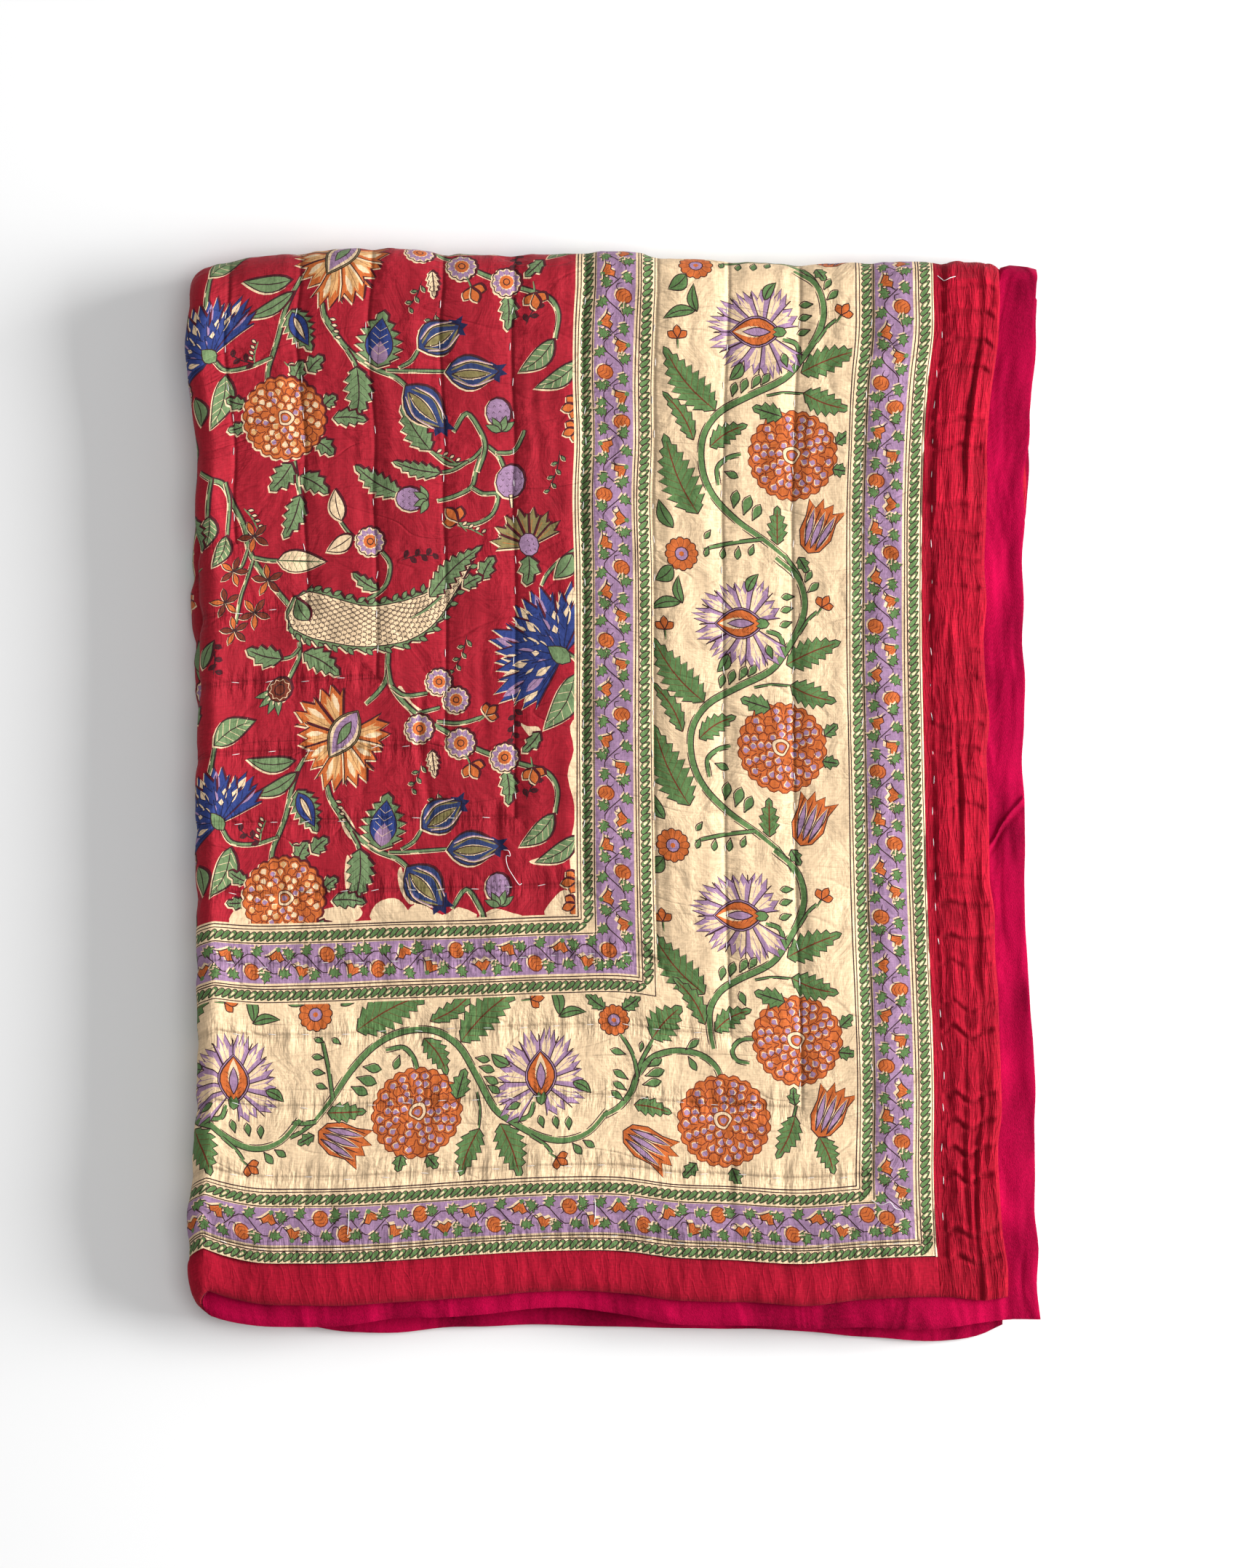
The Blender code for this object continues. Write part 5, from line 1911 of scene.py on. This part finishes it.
def quilting_group():
    """Height of the sewn rows, the puckers beside them and the crumpled cloth between."""
    tree, ins, outs = new_group("Quilting relief", ("Pucker",), ("Height", "Row"))
    a, b = take_apart(tree, ins["Map"])[:2]
    across, along = hem_gap(tree, a, HEM_SIDE, FAR_SIDE), hem_gap(tree, b, FAR_END, HEM_END)
    row = calc(tree, "SUBTRACT", calc(tree, "MINIMUM", across, along), FIRST_ROW)
    row = calc(tree, "DIVIDE", row, ROW_PITCH)
    number = calc(tree, "ROUND", row)
    gap = calc(tree, "MULTIPLY", calc(tree, "ABSOLUTE", calc(tree, "SUBTRACT", row, number)), ROW_PITCH)
    beside = calc(tree, "LESS_THAN", across, along)
    run = calc(tree, "MULTIPLY_ADD", beside, calc(tree, "SUBTRACT", b, a), a)
    spot = put_together(tree, run, gap, number)
    gathers = stretched_noise(tree, spot, (110, 24, 3.7), Detail=3, Roughness=0.6)
    drawn = calc(tree, "MULTIPLY", gathers, bell(tree, gap, 0.013))
    crumple = stretched_noise(
        tree, ins["Map"], (34, 30, 1), Detail=4, Roughness=0.55, Distortion=0.7
    )
    wander = stretched_noise(tree, ins["Map"], (9, 31, 5), Detail=1, Distortion=0.5)
    pressed_fold = bell(tree, wander, 0.016)
    height = calc(tree, "MULTIPLY", drawn, calc(tree, "MULTIPLY", ins["Pucker"], 0.0044))
    height = calc(tree, "MULTIPLY_ADD", crumple, 0.0034, height)
    height = calc(tree, "MULTIPLY_ADD", pressed_fold, -0.0004, height)
    # The line of each row, given out as Row, is also used by the printed finish for painted shade.
    seam = bell(tree, gap, 0.0018)
    height = calc(tree, "MULTIPLY_ADD", seam, -0.0014, height)
    tree.links.new(height, outs["Height"])
    tree.links.new(seam, outs["Row"])
    return tree


def crinkle_group():
    """Height of fine pressed wrinkles that run one way, with waves per metre each way."""
    tree, ins, outs = new_group("Crinkle", ("Across", "Along", "Depth"), ("Height",))
    run = add_node(tree, "ShaderNodeVectorMath", (-500, 0), operation="MULTIPLY")
    tree.links.new(ins["Map"], run.inputs[0])
    tree.links.new(put_together(tree, ins["Across"], ins["Along"]), run.inputs[1])
    first = stretched_noise(tree, run.outputs[0], (1, 1, 1), Detail=3, Distortion=0.5)
    second = stretched_noise(tree, run.outputs[0], (2.3, 1.6, 1), Detail=1, Distortion=0.3)
    ridge = bell(tree, second, 0.05)
    height = calc(tree, "MULTIPLY_ADD", ridge, 0.16, first)
    tree.links.new(calc(tree, "MULTIPLY", height, ins["Depth"]), outs["Height"])
    return tree


WEAVE = weave_group()
WASH = wash_group()
QUILTING = quilting_group()
CRINKLE = crinkle_group()


def use_group(tree, group, place, **values):
    """A node group fed from the flat map."""
    made = add_node(tree, "ShaderNodeGroup", place, node_tree=group)
    tree.links.new(tree.nodes["Flat map"].outputs["UV"], made.inputs["Map"])
    for name, value in values.items():
        made.inputs[name].default_value = value
    return made.outputs


def new_material(name, roughness):
    material = bpy.data.materials.new(name)
    material.use_nodes = True
    tree = material.node_tree
    shader = tree.nodes["Principled BSDF"]
    shader.inputs["Roughness"].default_value = roughness
    return material, tree, shader


def new_finish(name, roughness, sheen, specular):
    """A cloth finish with the flat map that its groups read."""
    material, tree, shader = new_material(name, roughness)
    flat = add_node(tree, "ShaderNodeUVMap", (-1100, 0), uv_map="cloth")
    flat.name = "Flat map"
    shader.inputs["Sheen Weight"].default_value = sheen
    shader.inputs["Sheen Roughness"].default_value = 0.45
    shader.inputs["Specular IOR Level"].default_value = specular
    return material, tree, shader


def shade_and_raise(tree, shader, colour, value, height):
    """Join a colour, a lightness and a height in metres to the shader."""
    tint = add_node(tree, "ShaderNodeHueSaturation", (-160, 60))
    tree.links.new(value, tint.inputs["Value"])
    if isinstance(colour, tuple):
        tint.inputs["Color"].default_value = (*linear(colour), 1)
    else:
        tree.links.new(colour, tint.inputs["Color"])
    tree.links.new(tint.outputs["Color"], shader.inputs["Base Color"])
    relief = add_node(tree, "ShaderNodeBump", (-160, -300), Strength=1, Distance=1)
    tree.links.new(height, relief.inputs["Height"])
    tree.links.new(relief.outputs["Normal"], shader.inputs["Normal"])


def printed_finish():
    """Printed cotton: each scrap has its ink, with painted shade a little darker along the sewn rows."""
    material, tree, shader = new_finish("Printed cotton", 0.85, 0.04, 0.2)
    ink = add_node(tree, "ShaderNodeAttribute", (-560, 200), attribute_name="ink")
    weave = use_group(tree, WEAVE, (-800, -300))
    wash = use_group(tree, WASH, (-800, -60), Cloud=0.45, Grain=0.35)
    quilting = use_group(tree, QUILTING, (-800, -500), Pucker=1)
    value = calc(tree, "MULTIPLY", wash["Lightness"], weave["Slub"])
    # Painted shade: the colour is made 10% darker along the sewn rows, where the cloth dips.
    value = calc(tree, "MULTIPLY", value, calc(tree, "MULTIPLY_ADD", quilting["Row"], -0.1, 1))
    height = calc(tree, "ADD", weave["Height"], quilting["Height"])
    shade_and_raise(tree, shader, ink.outputs["Color"], value, height)
    return material


def band_finish(name, colour, across, along, depth):
    """Plain red cotton with pressed wrinkles, with painted shade in the hollows of its relief and painted
    light on its ridges.
    """
    material, tree, shader = new_finish(name, 0.9, 0.03, 0.1)
    weave = use_group(tree, WEAVE, (-800, -300))
    wash = use_group(tree, WASH, (-800, -60), Cloud=0.4, Grain=0.6)
    crinkle = use_group(tree, CRINKLE, (-800, -500), Across=across, Along=along, Depth=depth)
    value = calc(tree, "MULTIPLY", wash["Lightness"], weave["Slub"])
    # Painted shade and light: the colour is darker in the crinkle's hollows and lighter on its ridges.
    shade = calc(tree, "MULTIPLY_ADD", crinkle["Height"], 0.25 / depth, value)
    # Painted shade and light from the mesh relief: darker where the face dips, lighter where it rises.
    relief = add_node(tree, "ShaderNodeAttribute", (-560, 200), attribute_name="relief")
    shade = calc(tree, "MULTIPLY", shade, calc(tree, "MULTIPLY_ADD", relief.outputs["Fac"], 110, 1))
    height = calc(tree, "MULTIPLY_ADD", weave["Height"], 1.6, crinkle["Height"])
    shade_and_raise(tree, shader, colour, shade, height)
    return material


def velvet_finish():
    """Crimson velvet with a soft sheen, its nap brushed unevenly, and painted shade darkening it along the
    side hems.
    """
    material, tree, shader = new_finish("Crimson velvet", 0.95, 0.1, 0.05)
    shader.inputs["Sheen Roughness"].default_value = 0.35
    shader.inputs["Sheen Tint"].default_value = (1, 0.22, 0.42, 1)
    wash = use_group(tree, WASH, (-760, 0), Cloud=1.3, Grain=0.7)
    flat = tree.nodes["Flat map"].outputs["UV"]
    brushed = stretched_noise(tree, flat, (36, 11, 1), Detail=2, Distortion=0.6)
    nap = stretched_noise(tree, flat, (900, 900, 1), Detail=2)
    value = calc(tree, "MULTIPLY_ADD", brushed, 1.5, wash["Lightness"])
    across = hem_gap(tree, take_apart(tree, flat)[0], HEM_SIDE, FAR_SIDE)
    # Painted shade: the velvet is made up to 26% darker within about 16 mm of its side hems.
    painted_hem_shade = bell(tree, across, 0.016)
    value = calc(tree, "MULTIPLY", value, calc(tree, "MULTIPLY_ADD", painted_hem_shade, -0.26, 1))
    height = calc(tree, "MULTIPLY_ADD", brushed, 0.005, calc(tree, "MULTIPLY", nap, 0.0004))
    shade_and_raise(tree, shader, (158, 5, 54), value, height)
    return material


def thread_finish():
    """White cotton sewing thread."""
    material, tree, shader = new_material("White thread", 0.7)
    place = add_node(tree, "ShaderNodeTexCoord", (-800, 0))
    twist = add_node(tree, "ShaderNodeTexNoise", (-600, 0), Scale=1600)
    tree.links.new(place.outputs["Object"], twist.inputs["Vector"])
    ramp = add_node(tree, "ShaderNodeValToRGB", (-400, 0))
    ramp.color_ramp.elements[0].color = (0.5, 0.46, 0.46, 1)
    ramp.color_ramp.elements[1].color = (0.86, 0.84, 0.82, 1)
    tree.links.new(twist.outputs["Fac"], ramp.inputs["Fac"])
    tree.links.new(ramp.outputs["Color"], shader.inputs["Base Color"])
    return material


PRINTED = printed_finish()
SIDE_COTTON = band_finish("Crinkled red cotton", (131, 8, 29), 150, 22, 0.0026)
END_COTTON = band_finish("Red cotton", (140, 13, 35), 70, 26, 0.001)
VELVET = velvet_finish()
THREAD = thread_finish()

# The printed panel is made in four strips side by side. Their edges, in mm, lie under
# the ink, and the cloth is shown from the fold at the left to the one at the back.
SHOWN_LEFT = -364
SHOWN_BACK = 486
COLUMNS = (SHOWN_LEFT, -196, FIELD_RIGHT, 105, PRINT_RIGHT)
COLUMN_NAMES = ("print_far_field", "print_near_field", "print_inner_border", "print_outer_border")
PRINT_FACE = face_with(puckers)
SIDE_FACE = face_with(side_band_relief)

# How far apart the points of the shown print, of the bands and of the velvet lie, in mm.
PRINT_STEP, BAND_STEP, INNER_BAND_STEP = 3.2, 1.9, 6


def print_piece(name, low, high, shapes, step, back_step, lanes=1):
    """A filled piece of printed cotton between two flat corners, in mm."""
    flat, triangles, ink = printed_sheet(low, high, shapes, step)
    piece = filled_piece(
        name, flat, triangles, PRINTED, PRINT_FACE, panel_back, back_step, lanes, ink
    )
    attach(piece, "root")
    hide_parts("quilted_top")


top_print = draw_print()
for name, left, right in zip(COLUMN_NAMES, COLUMNS, COLUMNS[1:]):
    print_piece(name, (left, PRINT_LOW), (right, SHOWN_BACK), top_print, PRINT_STEP, 0.012, lanes=2)

# The lower pack carries the same print the other way up: only its fold shows.
far_low, far_high = FAR_SIDE / MM + SIDE_BAND / MM, FAR_END / MM - END_BAND / MM
turn_over = (HEM_END + FAR_END) / MM
under_print = [
    (ink, points * (1, -1) + (0, turn_over)) for ink, points in draw_print(detail=False)
]
print_piece(
    "print_underside", (SHOWN_LEFT, SHOWN_BACK), (PRINT_RIGHT, far_high), under_print, 6.5, 0.02
)


def plain_print():
    """The print of the inner layers, which lie face to face: its main bands alone."""
    shapes = []
    pen = Pen(shapes)
    inner_right = -300
    pen.fill("cream", box_points(far_low - 5, PRINT_LOW - 5, inner_right, far_high + 5))
    turn_back = FAR_SIDE / MM + HEM_SIDE / MM
    back = turn_over - FIELD_LOW
    pen.fill("red", box_points(turn_back - FIELD_RIGHT, FIELD_LOW, inner_right, back))
    # The lilac strips: their edges across, how far they run, and their edges along.
    for near, far, reach, low, high in (
        (199, 228.6, -350, -349.8, -320), (-17, 13.4, -143, -143, -114),
    ):
        left, right = turn_back - far, turn_back - near
        pen.fill("lilac", box_points(left, reach, right, turn_over - reach))
        pen.fill("lilac", box_points(left, low, inner_right, high))
        pen.fill("lilac", box_points(left, turn_over - high, inner_right, turn_over - low))
    return shapes


print_piece("print_inside", (far_low, PRINT_LOW), (SHOWN_LEFT, far_high), plain_print(), 13, 0.03)


def band(name, node, low, high, step, relief, lanes, finish):
    """A strip of plain red cotton over its wadding, between two flat corners."""
    flat, triangles = plain_sheet(np.array(low) / MM, np.array(high) / MM, step)
    face = face_with(relief)
    piece = filled_piece(name, flat, triangles, finish, face, panel_back, 0.008, lanes)
    # The rise of the face goes to the relief attribute, which the band finish turns into painted shade in
    # the hollows and painted light on the ridges.
    rises = np.zeros(len(piece.data.vertices), dtype=np.float32)
    rises[: len(flat)] = relief(flat[:, 0] * MM, flat[:, 1] * MM)
    piece.data.attributes.new("relief", "FLOAT", "POINT").data.foreach_set("value", rises)
    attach(piece, "root")
    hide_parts(node)
    return piece


near_seam = HEM_SIDE - SIDE_BAND + SEAM_GAP
far_seam = FAR_SIDE + SIDE_BAND - SEAM_GAP
end_left, end_right = far_seam + 2 * SEAM_GAP, near_seam - 2 * SEAM_GAP
side_look = side_band_relief, 3, SIDE_COTTON
end_look = end_band_relief, 1, END_COTTON
side_near = band(
    "side_band_near", "side_band_first", (near_seam, HEM_END), (HEM_SIDE, FAR_END), BAND_STEP,
    *side_look
)
side_far = band(
    "side_band_inside", "side_band_second", (FAR_SIDE, HEM_END), (far_seam, FAR_END),
    INNER_BAND_STEP, *side_look,
)
end_near = band(
    "end_band_near", "end_band_first",
    (end_left, HEM_END), (end_right, HEM_END + END_BAND - SEAM_GAP),
    BAND_STEP, *end_look,
)
end_far = band(
    "end_band_inside", "end_band_second",
    (end_left, FAR_END - END_BAND + SEAM_GAP), (end_right, FAR_END),
    INNER_BAND_STEP, *end_look,
)

velvet_low = np.array((FAR_SIDE, HEM_END)) / MM
velvet_high = np.array((HEM_SIDE, FAR_END)) / MM
# The velvet is finer where it can be seen: up to this place across and along.
shown = (velvet_low[0] + 48, FOLD_END / MM + 20)
flat, triangles = plain_sheet(velvet_low, velvet_high, 7, finer=(shown, 1.9))
velvet = filled_piece(
    "velvet_backing_cloth", flat, triangles[:, ::-1], VELVET, velvet_face, velvet_inner, 0.012,
    outward=-1,
)
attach(velvet, "root")
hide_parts("velvet_backing")


# Sewing. One stitch is modelled, and its copies are laid along the quilting rows.
HALF_STITCH = 0.0033
bpy.ops.mesh.primitive_uv_sphere_add(segments=6, ring_count=6, radius=1, rotation=(0, pi / 2, 0))
one_stitch = bpy.context.object
bpy.ops.object.transform_apply(rotation=True)
bpy.ops.object.mode_set(mode="EDIT")
bpy.ops.mesh.select_all(action="SELECT")
bpy.ops.transform.resize(value=(HALF_STITCH, 0.0003, 0.00028))
bpy.ops.object.mode_set(mode="OBJECT")
one_stitch.data.materials.append(THREAD)
bpy.ops.object.shade_smooth()

# The sphere's faces come in another order from run to run, so they are sorted.
shape = bmesh.new()
shape.from_mesh(one_stitch.data)
corner_count = len(shape.verts)
shape.faces.sort(
    key=lambda face: sum(
        spot.index * corner_count**number for number, spot in enumerate(face.verts)
    )
)
shape.to_mesh(one_stitch.data)
shape.free()


def stitch_places():
    """Flat middle and direction of each stitch of the top layer, in metres."""
    shake = np.random.default_rng(5)
    places = []
    for row in range(12):
        a_row = HEM_SIDE - FIRST_ROW - ROW_PITCH * row
        b_row = HEM_END + FIRST_ROW + ROW_PITCH * row
        for across, first, last in ((False, b_row, FOLD_END), (True, FOLD_SIDE, a_row)):
            place = first + 0.012 + 0.01 * shake.random()
            while place < last - 0.01:
                slip = 0.0007 * shake.standard_normal()
                lean = 0.1 * shake.standard_normal()
                if across:
                    places.append((place, b_row + slip, 1, lean))
                else:
                    places.append((a_row + slip, place, lean, 1))
                place += 0.0275 + 0.0025 * shake.standard_normal()
    return np.array([spot for spot in places if spot[0] > FOLD_SIDE and spot[1] < FOLD_END])


def top_face(a, b):
    """The face of the top layer, printed panel or side band, at flat places."""
    banded = (a > HEM_SIDE - SIDE_BAND)[..., None]
    return np.where(banded, fold_up(a, b, SIDE_FACE), fold_up(a, b, PRINT_FACE))


def slope(a, b, run_a, run_b):
    """Which way the top face runs at flat places, 3 mm to each side."""
    ahead = top_face(a + 0.003 * run_a, b + 0.003 * run_b)
    return ahead - top_face(a - 0.003 * run_a, b - 0.003 * run_b)


a, b, run_a, run_b = stitch_places().T
middle = top_face(a, b)
along, beside = slope(a, b, run_a, run_b), slope(a, b, -run_b, run_a)
copies = []
for place, x_axis, y_axis in zip(middle, along, beside):
    x_axis = Vector(x_axis).normalized()
    z_axis = x_axis.cross(Vector(y_axis)).normalized()
    turned = Matrix((x_axis, z_axis.cross(x_axis), z_axis)).transposed().to_4x4()
    laid = one_stitch.data.copy()
    laid.transform(Matrix.Translation(Vector(place) + 0.00012 * z_axis) @ turned)
    copies.append(new_object("stitch", laid))
bpy.data.objects.remove(one_stitch)
bpy.ops.object.select_all(action="DESELECT")
for copy in copies:
    copy.select_set(True)
bpy.context.view_layer.objects.active = copies[0]
bpy.ops.object.join()
stitches = bpy.context.object
stitches.name = "quilting_stitches"

# Loose thread ends, all in mm: a and b on the flat quilt, and the height over the cloth.
LOOSE_THREADS = (
    ((248, 414, 0.4), (251, 411, 0.8), (254, 408.5, 0.4), (258, 410, 1), (262, 411.5, 0.5)),
    ((-90, -44, 0.2), (-86, -45, 0.9), (-85, -49, 0.6), (-88, -49, 1), (-87, -57, 0.7),
     (-82, -66, 0.8), (-78, -72, 0.4), (-76, -71, 0.2)),
    ((196, -316, 0.3), (203, -320, 1.2), (210, -318, 1.6), (214, -323, 0.8), (219, -325, 0.3)),
    ((-18, -340, 0.2), (-17.4, -330, 0.7), (-18.2, -322, 0.2)),
    ((-208, -340, 0.2), (-207.6, -331, 0.6), (-208.3, -321, 0.2)),
)
path = bpy.data.curves.new("loose_threads", "CURVE")
path.dimensions = "3D"
path.bevel_depth = 0.0003
path.bevel_resolution = 1
for points in LOOSE_THREADS:
    run = smooth(points, 5)
    lifted = top_face(run[:, 0] * MM, run[:, 1] * MM)
    lifted[:, 2] += run[:, 2] * MM
    spline = path.splines.new("POLY")
    spline.points.add(len(lifted) - 1)
    spline.points.foreach_set("co", np.c_[lifted, np.ones(len(lifted))].ravel())
threads = new_object("loose_threads", path)
bpy.ops.object.select_all(action="DESELECT")
threads.select_set(True)
bpy.context.view_layer.objects.active = threads
bpy.ops.object.convert(target="MESH")
threads = bpy.context.object
threads.data.materials.append(THREAD)
for piece in (stitches, threads):
    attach(piece, "root")


white, tree, shader = new_material("White table", 0.9)
shader.inputs["Base Color"].default_value = (0.86, 0.86, 0.86, 1)
bpy.ops.mesh.primitive_plane_add(size=12, location=(0, 0, 0))
table = bpy.context.object
table.name = "table_top"
table.data.materials.append(white)


def soft_light(name, place, size, power):
    """A rectangular lamp at a place, turned to the quilt."""
    light = bpy.data.lights.new(name, "AREA")
    light.shape = "RECTANGLE"
    light.size, light.size_y = size
    light.energy = power
    lamp = new_object(name, light)
    lamp.location = place
    lamp.rotation_euler = (-Vector(place)).to_track_quat("-Z", "Y").to_euler()


soft_light("window", (4, 0.4, 1.3), (2.6, 2.4), 470)
soft_light("ceiling", (0.6, 0.2, 4.4), (2.5, 2.5), 62)

world = bpy.data.worlds.new("Studio")
bpy.context.scene.world = world
world.use_nodes = True
sky = world.node_tree.nodes["Background"]
sky.inputs["Color"].default_value = (1, 1, 1, 1)
sky.inputs["Strength"].default_value = 0.34
bpy.context.scene.view_settings.view_transform = "Standard"

# The camera looks straight down. The frame is this high, in metres, at the cloth's top.
CAMERA_HEIGHT = 6
TOP_HEIGHT = 0.045
FRAME_HEIGHT = 1.2343
camera_data = bpy.data.cameras.new("Camera")
camera_data.sensor_fit = "VERTICAL"
camera_data.sensor_height = 36
camera_data.lens = 36 * (CAMERA_HEIGHT - TOP_HEIGHT) / FRAME_HEIGHT
camera_data.clip_end = 50
camera = new_object("Camera", camera_data)
camera.location = (0.0121, 0.0087, CAMERA_HEIGHT)
bpy.context.scene.camera = camera
